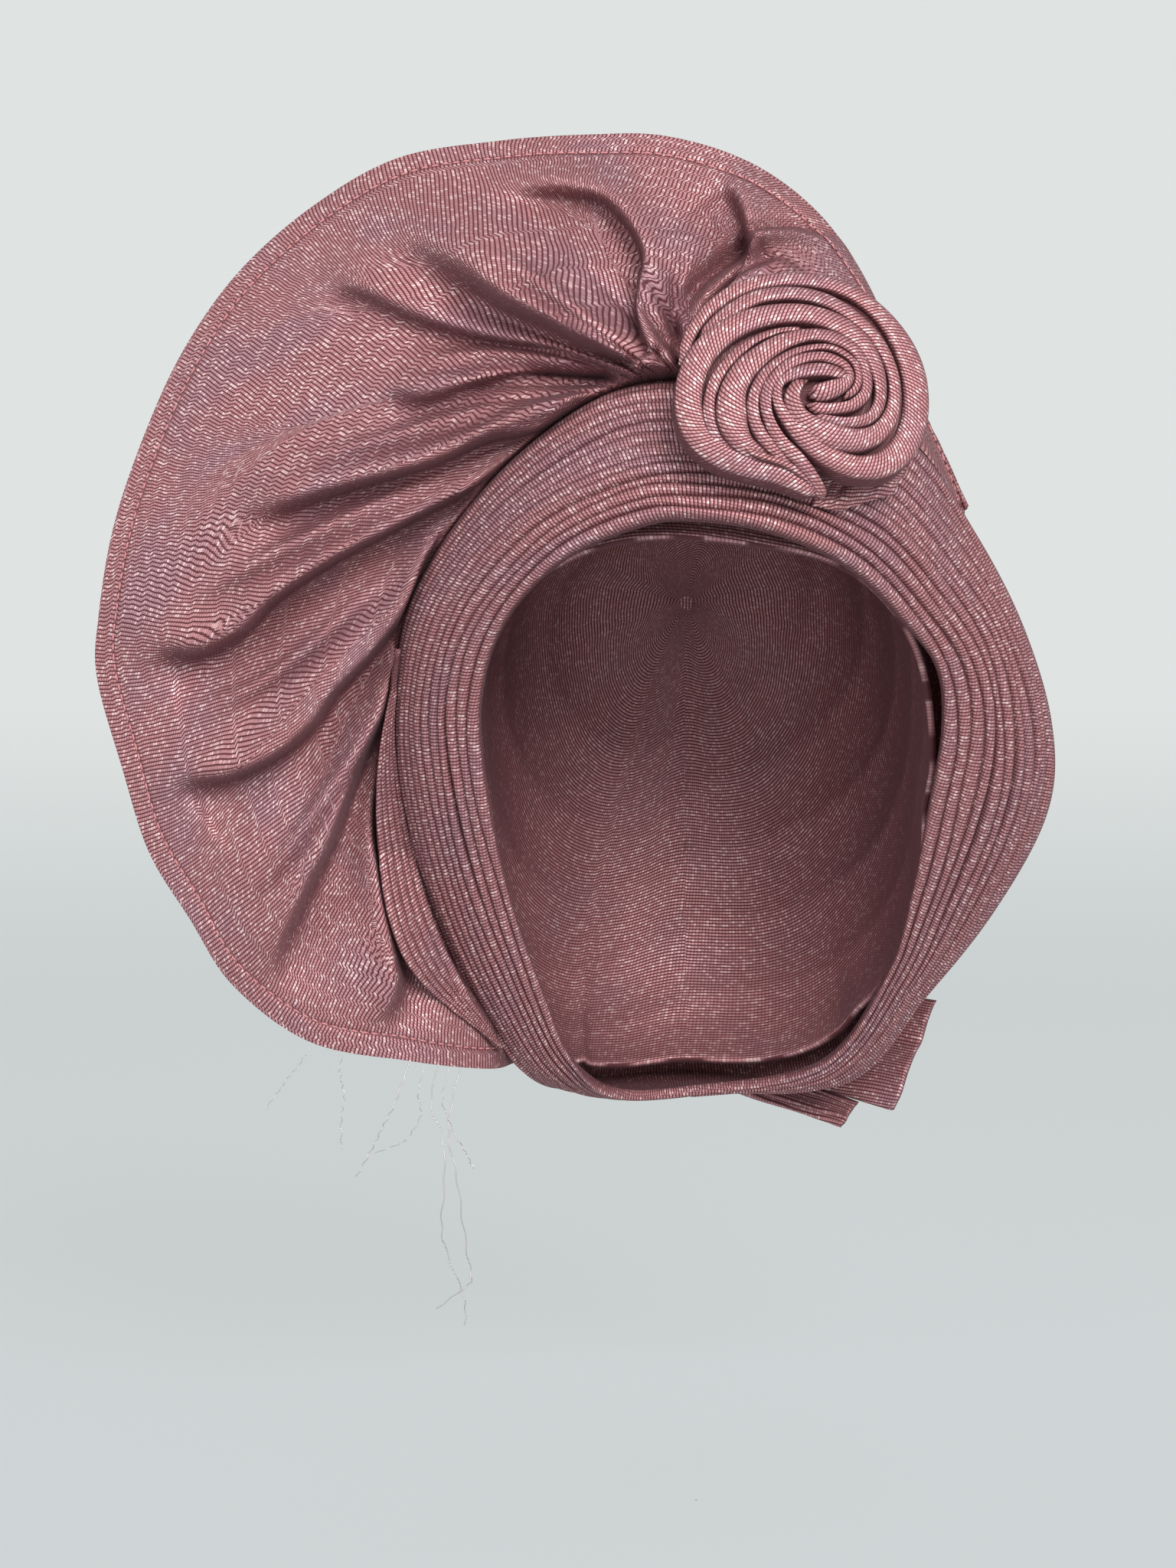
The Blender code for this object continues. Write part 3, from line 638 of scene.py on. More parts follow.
def fill(tree, node, **inputs):
    """Feeds a node's inputs, named here with underscores for spaces."""
    for name, value in inputs.items():
        feed(tree, node.inputs[name.replace("_", " ")], value)
    return node


def add_node(tree, kind, **inputs):
    return fill(tree, tree.nodes.new("ShaderNode" + kind), **inputs)


def maths(tree, operation, *values, clamp=False):
    """A maths node whose inputs are sockets or plain numbers."""
    node = add_node(tree, "Math")
    node.operation = operation
    node.use_clamp = clamp
    for socket, value in zip(node.inputs, values):
        feed(tree, socket, value)
    return node.outputs[0]


def mixed(tree, share, first, second):
    """A colour mix whose inputs are sockets or plain values."""
    node = add_node(tree, "Mix", Factor=share)
    node.data_type = "RGBA"
    feed(tree, node.inputs[6], first)
    feed(tree, node.inputs[7], second)
    return node.outputs[2]


def mapped(tree, value, low, high, to_low=0.0, to_high=1.0):
    """A value carried smoothly from one range to another."""
    node = add_node(tree, "MapRange", Value=value, From_Min=low, From_Max=high, To_Min=to_low, To_Max=to_high)
    node.interpolation_type = "SMOOTHSTEP"
    return node.outputs["Result"]


def solid(colour, lightness=1.0):
    """A colour for a shader's socket, made lighter or darker."""
    return (*[min(1.0, part * lightness) for part in colour], 1.0)


# The weave. How far a rib wanders, in mm; how much further on a rib's stitches start than the last rib's, in
# stitches; least share of yarn between two stitches; how far painted shade dims the yarn; spread of the
# stitches' brightness; the luckiest stitches, which get a painted glint.
WANDER = 1.2
STAGGER = 0.12
YARN_BETWEEN = 0.45
PAINTED_SHADE_DIMS = 0.70
UNEVEN = 0.28
LUCKIEST = 0.72


def weave_stitches(tree, given):
    """Height of a place on its rib and on its stitch, 0 to 1 as half a sine wave, and its stitch's chance."""
    wander = add_node(tree, "TexNoise", Scale=0.045, Detail=1.0, Vector=given["Place"])
    off = maths(tree, "MULTIPLY_ADD", wander.outputs[0], WANDER, -WANDER / 2)
    place = add_node(tree, "SeparateXYZ", Vector=given["Place"]).outputs
    across = maths(tree, "DIVIDE", maths(tree, "ADD", place[0], off), given["Rib pitch"])
    along = maths(tree, "DIVIDE", maths(tree, "MULTIPLY_ADD", off, 0.6, place[1]), given["Dash length"])
    rib = maths(tree, "FLOOR", across)
    along = maths(tree, "MULTIPLY_ADD", rib, STAGGER, along)
    number = add_node(tree, "CombineXYZ", X=rib, Y=maths(tree, "FLOOR", along))
    chance = add_node(tree, "TexWhiteNoise", Vector=number.outputs[0])
    chance.noise_dimensions = "2D"
    tops = []
    for run in (across, along):
        tops.append(maths(tree, "SINE", maths(tree, "MULTIPLY", maths(tree, "FRACT", run), math.pi)))
    return *tops, chance.outputs["Value"]


def weave_group():
    """The cloth's weave, from a place in mm: ribs a pitch apart, each a row of bright stitches over a dark
    ground. Each stitch has a brightness of its own, a few get a painted glint, painted shade dims the yarn and
    its glints, and broad patches look cooler."""
    tree = bpy.data.node_groups.new("ribbed metallic weave", "ShaderNodeTree")
    for way, kind, names in (
        ("INPUT", "NodeSocketVector", ("Place",)),
        ("INPUT", "NodeSocketFloat", ("Rib pitch", "Dash length", "Cast", "Glints", "Hollow")),
        ("INPUT", "NodeSocketColor", ("Ground", "Yarn", "Glint", "Cool")),
        ("OUTPUT", "NodeSocketColor", ("Colour",)),
        ("OUTPUT", "NodeSocketFloat", ("Height", "Metal", "Roughness")),
    ):
        for name in names:
            tree.interface.new_socket(name=name, in_out=way, socket_type=kind)
    given = tree.nodes.new("NodeGroupInput").outputs
    rib_top, stitch_top, chance = weave_stitches(tree, given)
    stitch_part = mapped(tree, stitch_top, 0.25, 0.75)
    stitch_part = maths(tree, "MULTIPLY_ADD", stitch_part, 1 - YARN_BETWEEN, YARN_BETWEEN)
    shown = maths(tree, "MULTIPLY", mapped(tree, rib_top, 0.35, 0.80), stitch_part)
    # Painted shade: the yarn and its glints are dimmed where the piece's shade mark is high.
    lit = maths(tree, "SUBTRACT", 1.0, maths(tree, "MULTIPLY", given["Hollow"], PAINTED_SHADE_DIMS), clamp=True)
    bright = maths(tree, "MULTIPLY", maths(tree, "MULTIPLY_ADD", chance, UNEVEN, 0.76), lit)
    patches = add_node(tree, "TexNoise", Scale=0.03, Detail=3.0, Vector=given["Place"])
    cool = maths(tree, "MULTIPLY", mapped(tree, patches.outputs[0], 0.42, 0.68), given["Cast"])
    yarn = mixed(tree, cool, given["Yarn"], given["Cool"])
    colour = mixed(tree, maths(tree, "MULTIPLY", shown, bright, clamp=True), given["Ground"], yarn)
    # Painted highlights: the luckiest stitches are mixed toward the pale glint colour, less so in painted shade.
    lucky = maths(tree, "MULTIPLY", mapped(tree, chance, LUCKIEST, 1.0), shown)
    glinting = maths(tree, "MULTIPLY", maths(tree, "MULTIPLY", lucky, given["Glints"]), lit, clamp=True)
    fill(
        tree, tree.nodes.new("NodeGroupOutput"),
        Colour=mixed(tree, glinting, colour, given["Glint"]),
        Height=maths(tree, "MULTIPLY", rib_top, maths(tree, "MULTIPLY_ADD", stitch_top, 0.45, 0.55)),
        Metal=maths(tree, "MULTIPLY_ADD", shown, 0.30, 0.10),
        Roughness=maths(tree, "MULTIPLY_ADD", shown, -0.20, 0.65))
    return tree


def new_material(name):
    """A material with its node tree and its shader."""
    material = bpy.data.materials.new(name)
    material.use_nodes = True
    tree = material.node_tree
    return material, tree, tree.nodes["Principled BSDF"]


def cloth_material(name, group, cloth, cast=0.55, glints=0.72, lightness=1.0):
    """Rose cloth: the weave on the piece's own UV map, with the sheen of metallic yarn."""
    material, tree, shader = new_material(name)
    place = add_node(tree, "UVMap")
    place.uv_map = "cloth"
    # The piece's painted shade in folds, creases and grooves, kept on its points.
    painted_shade = add_node(tree, "Attribute")
    painted_shade.attribute_name = "painted_shade"
    weave = add_node(tree, "Group")
    weave.node_tree = group
    # A lightness above 1 makes a copy with painted light, below 1 a copy with painted shade.
    fill(
        tree, weave, Place=place.outputs[0], Hollow=painted_shade.outputs["Fac"], Rib_pitch=cloth.rib_pitch / MM,
        Dash_length=cloth.dash_length / MM, Cast=cast, Glints=glints,
        Ground=solid(cloth.mauve, lightness), Yarn=solid(cloth.rose, lightness),
        Glint=solid(cloth.glint, lightness), Cool=solid(cloth.lilac, lightness))
    bump = add_node(tree, "Bump", Strength=0.5, Distance=0.30 * MM, Height=weave.outputs["Height"])
    # Shot cloth: seen aslant, the dark warp shows and the bright yarn hides.
    slant = add_node(tree, "LayerWeight", Blend=0.5)
    aslant = maths(tree, "MULTIPLY", mapped(tree, slant.outputs["Facing"], 0.22, 0.88), 0.72)
    fill(
        tree, shader, Base_Color=mixed(tree, aslant, weave.outputs["Colour"], solid(cloth.mauve, 0.8)),
        Metallic=weave.outputs["Metal"], Roughness=weave.outputs["Roughness"], Normal=bump.outputs[0],
        Specular_IOR_Level=0.3, Sheen_Weight=0.10, Sheen_Roughness=0.4, Sheen_Tint=(0.95, 0.68, 0.76, 1.0))
    return material


def yarn_material(name, colour, metal, twist):
    """A single yarn: twisted plies, with their glints and the shade between them painted as dashes along it."""
    material, tree, shader = new_material(name)
    place = add_node(tree, "TexCoord")
    waves = add_node(tree, "TexWave", Scale=twist, Distortion=2.5, Vector=place.outputs["Object"])
    waves.bands_direction = "DIAGONAL"
    tone = mixed(tree, mapped(tree, waves.outputs["Fac"], 0.25, 0.6), solid(colour, 0.45), solid(colour))
    fill(tree, shader, Base_Color=tone, Metallic=metal, Roughness=0.38)
    return material


KIT = {}


def kit():
    """The materials, made once."""
    if not KIT:
        cloth = bpy.context.scene.head_wrap_cloth
        group = weave_group()
        KIT["rose"] = cloth_material("rose_cloth", group, cloth)
        # Copies of the cloth made lighter and darker. The lighter one, for the rosette and its tuck, is painted
        # light; the darker one, with less of the cool cast and fewer glints, for the crown, the inner tail and
        # the rosette's core, is painted shade.
        KIT["rose_light"] = cloth_material("rose_cloth_light", group, cloth, lightness=1.06)
        KIT["rose_dark"] = cloth_material(
            "rose_cloth_shaded", group, cloth, cast=0.3, glints=0.5, lightness=0.85)
        KIT["silver"] = yarn_material("silver_yarn", cloth.silver, 0.6, 900.0)
        KIT["stitch"] = yarn_material("hem_thread", cloth.stitch, 0.0, 1500.0)
    return KIT


def settle(obj, slot_name, *nodes):
    """What every piece needs: it rides on the wrap and stands for its solids. The slot name is not used."""
    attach(obj, "root")
    if nodes:
        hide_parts(*nodes)
    return obj


LINE_SAMPLES = 120
# Width of the bell curve by which a fold or a ridge dies away past the end of its line.
END_REACH = 4.0
# Folds: how much of its outer width an edge takes on; spread at the knot, and its gain outwards; share of the
# line from which a fold dies away; height at the ends of its line, and its gain in the middle.
EDGE_OPENS = 0.75
SPREAD_IN = 0.45
SPREAD_GAIN = 0.85
FOLD_FADES_FROM = 0.78
HEIGHT_IN = 0.75
HEIGHT_GAIN = 0.35


def beside_line(seen, path):
    """For points seen from the front: signed distance to a line, share of its length, the way square to it,
    and how far the point lies past the line's ends. The distance is positive on the anticlockwise side of a
    line that runs outward from the knot."""
    apart = seen[:, None] - path[None]
    away = np.einsum("ijk,ijk->ij", apart, apart)
    nearest = away.argmin(axis=1)
    tangent = unit(np.gradient(path, axis=0))[nearest]
    gap = seen - path[nearest]
    side = np.stack([-tangent[:, 1], tangent[:, 0]], axis=1)
    distance = (gap * side).sum(axis=1)
    past = (gap * tangent).sum(axis=1)
    beyond = np.where((nearest == 0) | (nearest == len(path) - 1), np.abs(past), 0)
    return distance, nearest / (len(path) - 1), side, beyond


def fold_moves(points):
    """How the fan's folds move each point, in x, y, z, and the painted shade it gets in their creases, 0 to 1.
    A fold is a step: height / 2 forward on one side of its line and as far back on the other, easing out with
    distance as a bell curve. Where it overlaps, the same step also slides the cloth sideways over itself. A
    ridge is a bell curve forward with a shallow hollow beside it, which gets painted shade too."""
    seen = points[..., [0, 2]].reshape(-1, 2)
    moves = np.zeros((len(seen), 3))
    painted_shade = np.zeros(len(seen))
    for height, edge_in, edge_out, ridge, hollow_spread, overlap, line in FAN_FOLDS:
        distance, share, side, beyond = beside_line(seen, smooth_line(line, LINE_SAMPLES))
        edge = edge_in + EDGE_OPENS * (edge_out - edge_in) * share**1.3
        spread = np.where(distance < 0, ridge, hollow_spread) * (SPREAD_IN + SPREAD_GAIN * share)
        ends = smooth_step(0.0, 0.03, share) * (1 - smooth_step(FOLD_FADES_FROM, 1.0, share))
        fade = ends * bell(beyond, END_REACH)
        step = np.tanh(distance / edge) * bell(distance, spread)
        tall = HEIGHT_IN + HEIGHT_GAIN * np.sin(math.pi * share)
        moves[:, 1] += 0.5 * FOLD_STRENGTH * height * fade * step * tall
        slide = -overlap * edge * fade * (1 - share**2) * step
        moves[:, [0, 2]] += side * slide[:, None]
        # Painted shade along the crease, on the side that drops back.
        crease = bell(distance - 0.9 * edge, 1.1 * edge)
        painted_shade += fade * crease * (1 - 0.35 * share)
    for height, width, line in FAN_RIDGES:
        distance, share, side, beyond = beside_line(seen, smooth_line(line, LINE_SAMPLES))
        fade = np.sin(math.pi * np.clip(share * 0.9 + 0.08, 0, 1)) * bell(beyond, END_REACH)
        near = distance / width
        moves[:, 1] += FOLD_STRENGTH * height * fade * (0.6 * bell(near - 1.2, 1) - bell(near, 1))
        # Painted shade in the shallow hollow beside the ridge.
        painted_shade += 0.9 * fade * bell(near - 1.3, 0.7)
    return moves.reshape(points.shape), np.clip(painted_shade, 0, 1).reshape(points.shape[:-1])


FAN_COLUMNS = 430
FAN_ROWS = 100
FAN_GATHERS = 34
GATHER_HEIGHT = 4.2
# Soft ripples of the fan. Columns: waves round it, waves outwards, seed, height, whether it dies away at the
# root and the rim.
FAN_RIPPLES = (
    (34, 3.0, 5, 1.5, True),
    (60, 4.0, 9, 0.8, True),
    (90, 6.0, 8, 0.35, False),
)
# The hem: how far it stands up, how deep its seam sinks, and how high and how many its puckers are.
HEM_RAISED = 0.35
SEAM_DEPTH = 0.75
HEM_PUCKER = 0.12
PUCKERS = 700
# Distances of the fan's last rows from its rim.
HEM_ROWS = (11.0, 9.6, 8.8, 8.3, 7.8, 7.3, 6.8, 5.6, 4.2, 2.6, 1.2, 0.5, 0.15, 0.0)


def fan_lines():
    """Root, rim, station, bow and nearness to the knot of the fan's lines."""
    lines = smooth_line(FAN, FAN_COLUMNS)
    rim, station, bow = lines[:, 0:3], lines[:, 3], lines[:, 4:5]
    root = band_return(station, np.full(len(lines), 0.12))
    near_knot = bell(station - KNOT_STATION, KNOT_SPREAD)[:, None]
    root = root + unit(root - HEAD_CENTRE) * FAN_ROOT_GAP + KNOT_LIFT * near_knot
    return root, rim, station, bow, near_knot


def fan_lobes():
    """The fan without folds, a grid [column, row] from its gathered root to its rim; its stations; share of the
    way out, arch, nearness to the knot and distance from the rim. A line of the fan is its chord from root to
    rim, bowed by a half sine sideways and to the front. The last rows keep fixed distances from the rim."""
    root, rim, station, bow, near_knot = fan_lines()
    chord = rim - root
    length = np.linalg.norm(chord, axis=1)[:, None]
    side = unit(np.stack([-chord[:, 2], np.zeros(FAN_COLUMNS), chord[:, 0]], axis=1))
    inner = np.linspace(0, 1, FAN_ROWS - len(HEM_ROWS), endpoint=False)[None] * (1 - HEM_ROWS[0] / length)
    across = np.concatenate([inner, 1 - np.array(HEM_ROWS)[None] / length], axis=1)[..., None]
    arch = np.sin(math.pi * across)
    surface = root[:, None] + chord[:, None] * across + side[:, None] * bow[:, None] * arch
    surface[..., 1] -= FAN_PUFF * arch[..., 0]
    out = across[..., 0]
    return surface, station, out, arch[..., 0], near_knot, (1 - out) * length


def fan_surface():
    """The fan's front, each point's share of the way out and its painted shade, 0 to 1: the lobes with
    their folds, gathers at the knot as a rounded sine comb, soft ripples and the sewn hem."""
    surface, station, out, arch, near_knot, from_rim = fan_lobes()
    around = np.linspace(0, 1, FAN_COLUMNS)[:, None]
    clear = smooth_step(0.0, 0.06, out)
    moves, painted_shade = fold_moves(surface)
    surface += moves * clear[..., None]
    phase = around * FAN_GATHERS + 0.35 * ripple(around * 40, out * 2.0, 3)
    gathered = np.abs(np.sin(math.pi * phase)) ** 0.6
    tight = near_knot * (1 - smooth_step(0.05, 0.55, out)) * smooth_step(0.0, 0.03, out)
    # Painted shade between the gathers at the knot.
    painted_shade = np.clip(painted_shade + 0.8 * tight * (1 - smooth_step(0.1, 0.6, gathered)), 0, 1)
    swell = np.zeros_like(out)
    for waves_round, waves_out, seed, height, arched in FAN_RIPPLES:
        swell += ripple(around * waves_round, out * waves_out, seed) * (arch if arched else 1) * height
    surface[..., 1] += swell * clear * smooth_step(0.0, 0.03, 1 - out) - gathered * GATHER_HEIGHT * tight
    from_seam = from_rim - HEM_WIDTH
    hem = HEM_RAISED * smooth_step(0.5, -0.7, from_seam)
    hem -= SEAM_DEPTH * bell(from_seam, 0.55)
    hem += HEM_PUCKER * np.sin(around * PUCKERS) * bell(from_seam, 2.5)
    surface[..., 1] -= hem
    # Painted shade along the seam of the hem.
    painted_shade = np.maximum(painted_shade, 0.7 * bell(from_seam, 0.6))
    # The first row tucks back under the root, over the cloth behind the band.
    tuck = band_return(station, np.full(FAN_COLUMNS, 0.22))
    surface[:, 0] = tuck + unit(tuck - HEAD_CENTRE) * 0.9
    # Painted shade over the first rows, where they tuck under the root.
    painted_shade[:, 0:2] = 1.0
    return surface, out, painted_shade


def fan_weave(surface, out):
    """Weave places for each quad corner of the fan. Between two folds the ribs run outward side by side, a
    fixed pitch apart: a rib's place is the distance round the fan from the middle of its lobe. It jumps at a
    fold."""
    columns, rows = surface.shape[:2]
    round_it = lengths_along(surface, 0)
    inward = lengths_along(surface, 1)
    inward = inward[:, -1:] - inward
    seen = surface[..., [0, 2]].reshape(-1, 2)
    borders = []
    for *_, line in FAN_FOLDS:
        path = smooth_line(line, 24)
        nearest = ((seen[:, None] - path[None]) ** 2).sum(-1).argmin(0)
        column, row = np.divmod(nearest, rows)
        bend = np.polyfit(out.reshape(-1)[nearest], column, 1)
        borders.append(np.polyval(bend, out.mean(axis=0)))
    borders = np.clip(np.sort(np.array(borders), axis=0), 0, columns - 1)
    corner_column, corner_row = grid_corners(columns, rows)
    quad_column = corner_column[..., 0]
    edges = np.concatenate([np.zeros((1, rows)), borders, np.full((1, rows), columns - 1.0)])
    middle = (edges[:-1] + edges[1:]) / 2
    middle_place = round_it[middle.astype(int), np.arange(rows)[None]]
    rim_place = middle_place[:, -1]
    shift = rim_place[:, None] - middle_place
    # Inside the folds a lobe's ribs stop dead at the crease; beyond a fold's end they turn gradually instead.
    loose = smooth_step(0.55, 0.80, out.mean(axis=0))[corner_row]
    place = corner_column * loose + (quad_column[..., None] + 0.5) * (1 - loose)
    reach = 0.5 + 17.0 * loose
    u = round_it[corner_column, corner_row] + shift[0][corner_row]
    for border, step in zip(borders, np.diff(shift, axis=0)):
        past = smooth_step(-1.0, 1.0, (place - border[corner_row]) / reach)
        u = u + past * step[corner_row]
    v = inward[corner_column, corner_row]
    # The cloth lies aslant on the fan, so its ribs are turned from the fan's lines by one angle all over.
    return u * np.cos(FAN_TURN) - v * np.sin(FAN_TURN), v * np.cos(FAN_TURN) + u * np.sin(FAN_TURN)


def make_fan():
    surface, out, painted_shade = fan_surface()
    fan = grid_piece("fan_cloth", surface, *fan_weave(surface, out), kit()["rose"], flip=True)
    paint_shade(fan, painted_shade)
    sizes = bpy.context.scene.head_wrap_sizes
    cloth_wall(fan, sizes.fan_wall, -1.0)
    settle(fan, "rose_cloth", "fan")
    stitches = make_stitches(surface, sizes.stitch_length / MM)
    return fan, stitches, make_fan_edge(surface)


def between(grid, column, row):
    """Points of a grid at fractional columns and rows, mixed from the four points around each."""
    column = np.clip(column, 0, grid.shape[0] - 1.001)
    row = np.clip(row, 0, grid.shape[1] - 1.001)
    left, low = column.astype(int), row.astype(int)
    part, up = (column - left)[..., None], (row - low)[..., None]
    near = grid[left, low] * (1 - part) + grid[left + 1, low] * part
    far = grid[left, low + 1] * (1 - part) + grid[left + 1, low + 1] * part
    return near * (1 - up) + far * up


def least_forward(points, fan_points):
    """For each point, the least over the fan's points of their y plus their distance from it as seen from the
    front. A surface at that y stays clear of the fan."""
    gap = points[..., None, [0, 2]] - fan_points[:, [0, 2]]
    return (fan_points[:, 1] + np.sqrt((gap**2).sum(-1))).min(axis=-1)


def make_fan_edge(fan_front):
    """The gathered edge of the fan where it leaves the band: pleats side by side, from the wearer's temple down
    to the nape. Seen from the front, its points lie straight out from the band's outer edge, and as far forward
    as the fan lets them. Round cords stand on it, one for each pleat."""
    columns, pleats, coarse = 240, 5, 10
    station = np.linspace(*FAN_EDGE_STATIONS, columns)
    share = np.linspace(0, 1, columns)
    open_part = (smooth_step(-0.02, 0.30, share) * smooth_step(0.0, 0.70, 1 - share))[:, None]
    inner, outer, _ = band_edges(station)
    outwards = unit((outer - inner) * np.array([1.0, 0.0, 1.0]))
    width = 0.8 + FAN_EDGE_WIDTH * open_part
    reach = FAN_EDGE_START + width[::4] * np.linspace(0, 1, coarse)
    rough = outer[::4, None] + outwards[::4, None] * reach[..., None]
    forward = least_forward(rough, fan_front[FAN_COLUMNS * 5 // 8:].reshape(-1, 3))
    part = np.tile(PLEAT_STEPS, pleats)
    pleat = np.repeat(np.arange(pleats), len(PLEAT_STEPS))
    wobble = 0.10 * ripple(share[:, None] * 14, pleat[None] * 2.1, 71)
    across = ((pleat + part)[None] + wobble * np.sin(math.pi * part)) / pleats
    across = np.concatenate([across, np.ones((columns, 1))], axis=1)
    surface = outer[:, None] + outwards[:, None] * (FAN_EDGE_START + width * across)[..., None]
    place = np.broadcast_to(np.arange(columns)[:, None] / 4.0, across.shape)
    surface[..., 1] = between(forward[..., None], place, across * (coarse - 1))[..., 0]
    tall = (1.1 + 0.25 * ripple(share[:, None] * 9, pleat[None] * 3.3, 73)) * (0.25 + 0.75 * open_part)
    cord = np.append((1 - np.abs(2 * part - 1) ** 2.4) ** 0.5, 0)
    tall = np.concatenate([tall, np.zeros((columns, 1))], axis=1)
    surface = surface + grid_normals(surface) * (FAN_EDGE_LIFT + tall * cord)[..., None]
    v = lengths_along(surface, 1)
    u = lengths_along(surface, 0)[:, surface.shape[1] // 2][:, None] + 0.5 * v
    edge = grid_piece("fan_gathered_edge", surface, u, v, kit()["rose"])
    # Painted shade between the cords.
    paint_shade(edge, np.broadcast_to(np.clip(1.1 - 1.3 * cord, 0, 1), v.shape))
    cloth_wall(edge, 0.8 * MM, -1.0)
    return settle(edge, "rose_cloth")


def make_stitches(surface, length):
    """The seam of the hem: short rounded stitches laid along the row of the fan that is a hem's width from
    its rim. A stitch is a six-sided bead, wide in the middle, carried along the seam's own direction."""
    row = surface.shape[1] - len(HEM_ROWS) + HEM_ROWS.index(HEM_WIDTH)
    seam = surface[:, row]
    run = lengths_along(seam, 0)
    front = -grid_normals(surface)[:, row]
    starts = np.arange(4.0, run[-1] - length - 4.0, length + STITCH_GAP)
    steps = np.linspace(0, 1, 7)
    places = starts[:, None] + steps[None] * length
    line = np.stack([np.interp(places, run, values) for values in seam.T], axis=-1)
    lift = unit(np.stack([np.interp(places, run, values) for values in front.T], axis=-1))
    across = unit(np.cross(unit(np.gradient(line, axis=1)), lift))
    turn = np.linspace(0, 2 * math.pi, 6, endpoint=False)
    width = (np.sqrt(np.clip(1 - (2 * steps - 1) ** 4, 0, 1)) * 0.34 + 0.02)[:, None]
    up = (0.25 + 0.2 * np.sin(math.pi * steps))[:, None] + np.sin(turn) * width * 0.8
    ring = line[:, :, None] + lift[:, :, None] * up[..., None]
    ring = ring + across[:, :, None] * (np.cos(turn) * width)[..., None]
    count, stations, sides = ring.shape[:3]
    column, row = grid_corners(stations, sides, wrap_rows=True)
    one = np.roll((column * sides + row % sides)[..., ::-1], 1, axis=-1).reshape(-1, 4)
    first_cap = np.array([[0, 3, 2, 1], [0, 5, 4, 3]])
    last_cap = (stations - 1) * sides + np.array([[0, 1, 2, 3], [0, 3, 4, 5]])
    one = np.concatenate([one, first_cap, last_cap])
    faces = one[None] + (np.arange(count) * stations * sides)[:, None, None]
    uv = np.zeros((faces.size // 4, 4, 2))
    stitches = mesh_of("fan_hem_stitches", ring.reshape(-1, 3), faces, uv, kit()["stitch"])
    return settle(stitches, "rose_cloth")


BAND_STATIONS = 420
PLEAT_STEPS = np.array([0.0, 0.035, 0.10, 0.22, 0.38, 0.55, 0.72, 0.86, 0.95])
RETURN_ROWS = 38
# How far the lines between the pleats wander, in pleats, and how uneven the pleats' heights are.
PLEAT_WOBBLE = 0.14
PLEAT_UNEVEN = 0.22
# Soft folds of the cloth that runs back from the band: how many, and how high.
RETURN_FOLDS = 4.2
RETURN_FOLD_HEIGHT = 2.0


def band_heights(station):
    """Pleated face by station: places across, 0 to 1, heights, and the painted shade of each in the grooves and
    slits. A pleat is a rounded cord: its height is h * (1 - |2p - 1|^n)^0.5 for p from 0 to 1 across it, with h
    and n from the table and a soft unevenness."""
    table = np.array(PLEAT_FORM)
    form = smooth_rows(table[:, 1:], np.interp(station, table[:, 0], np.arange(len(table))))
    pleat = np.repeat(np.arange(PLEATS), len(PLEAT_STEPS))
    part = np.tile(PLEAT_STEPS, PLEATS)
    around = station[:, None]
    lines = np.arange(PLEATS + 1)
    wobble = ripple(around * 2.2, lines[None] * 2.7, 11) * PLEAT_WOBBLE * ((lines > 0) & (lines < PLEATS))
    place = (pleat + part + wobble[:, pleat] * (1 - part) + wobble[:, pleat + 1] * part) / PLEATS
    inner_share = 1 - smooth_step(4.0, 6.0, pleat + 0.5)
    tall = form[:, 0:1] * inner_share + form[:, 1:2] * (1 - inner_share)
    tall = tall * (1 + PLEAT_UNEVEN * ripple(around * 1.6, pleat[None] * 3.1, 17))
    cord = (1 - np.abs(2 * part - 1)[None] ** form[:, 2:3]) ** 0.5
    height = tall * cord
    for line, middle, half_length, depth in SLITS:
        gap = np.abs((pleat + part)[None] - line)
        height = height - depth * bell(around - middle, half_length) * bell(gap, SLIT_WIDTH)
    # Painted shade where a point lies low in a groove or slit, less on low pleats.
    painted_shade = np.clip(1.15 - height / (0.75 * tall), 0, 1) * np.clip(tall / 1.6, 0.3, 1)
    return place, height, painted_shade


def band_section():
    """The band as a closed section [station, point] of pleated face, cloth running back and inner wall, how
    many points the face has, and the painted shade of each point."""
    station = np.linspace(0, len(BAND), BAND_STATIONS, endpoint=False)
    place, height, painted_shade = band_heights(station)
    face = band_front(station[:, None] + np.zeros_like(place), place)
    around, share = grid_places(station, np.linspace(0, 1, RETURN_ROWS + 1))
    back = band_return(around, share)
    surface = np.concatenate([face, back], axis=1)
    phase = RETURN_FOLDS * share**0.85 + 0.35 * ripple(around * 0.7, share * 1.5, 23)
    folds = np.abs(np.sin(math.pi * phase)) ** 0.7
    back_height = RETURN_FOLD_HEIGHT * folds * np.sin(math.pi * np.clip(share * 1.05, 0, 1)) ** 0.5
    back_height = back_height + 0.5 * ripple(around * 3.0, share * 5.0, 29) * np.sin(math.pi * share)
    raised = np.concatenate([height, back_height], axis=1)
    outward = grid_normals(surface, closed_columns=True)
    outer_wall = surface + outward * raised[..., None]
    face_points = place.shape[1]
    picks = [np.linspace(surface.shape[1] - 1, face_points, 9), np.linspace(face_points - 6, 0, 12)]
    picks = np.concatenate(picks).round().astype(int)
    wall = bpy.context.scene.head_wrap_sizes.band_wall / MM
    inner_wall = (surface - outward * wall)[:, picks]
    # Painted shade between the folds of the cloth that runs back, and an even painted shade on the inner wall.
    painted_shade = np.concatenate([painted_shade, 0.8 * (1 - folds) ** 2, np.full(inner_wall.shape[:2], 0.4)], axis=1)
    return np.concatenate([outer_wall, inner_wall], axis=1), face_points, painted_shade


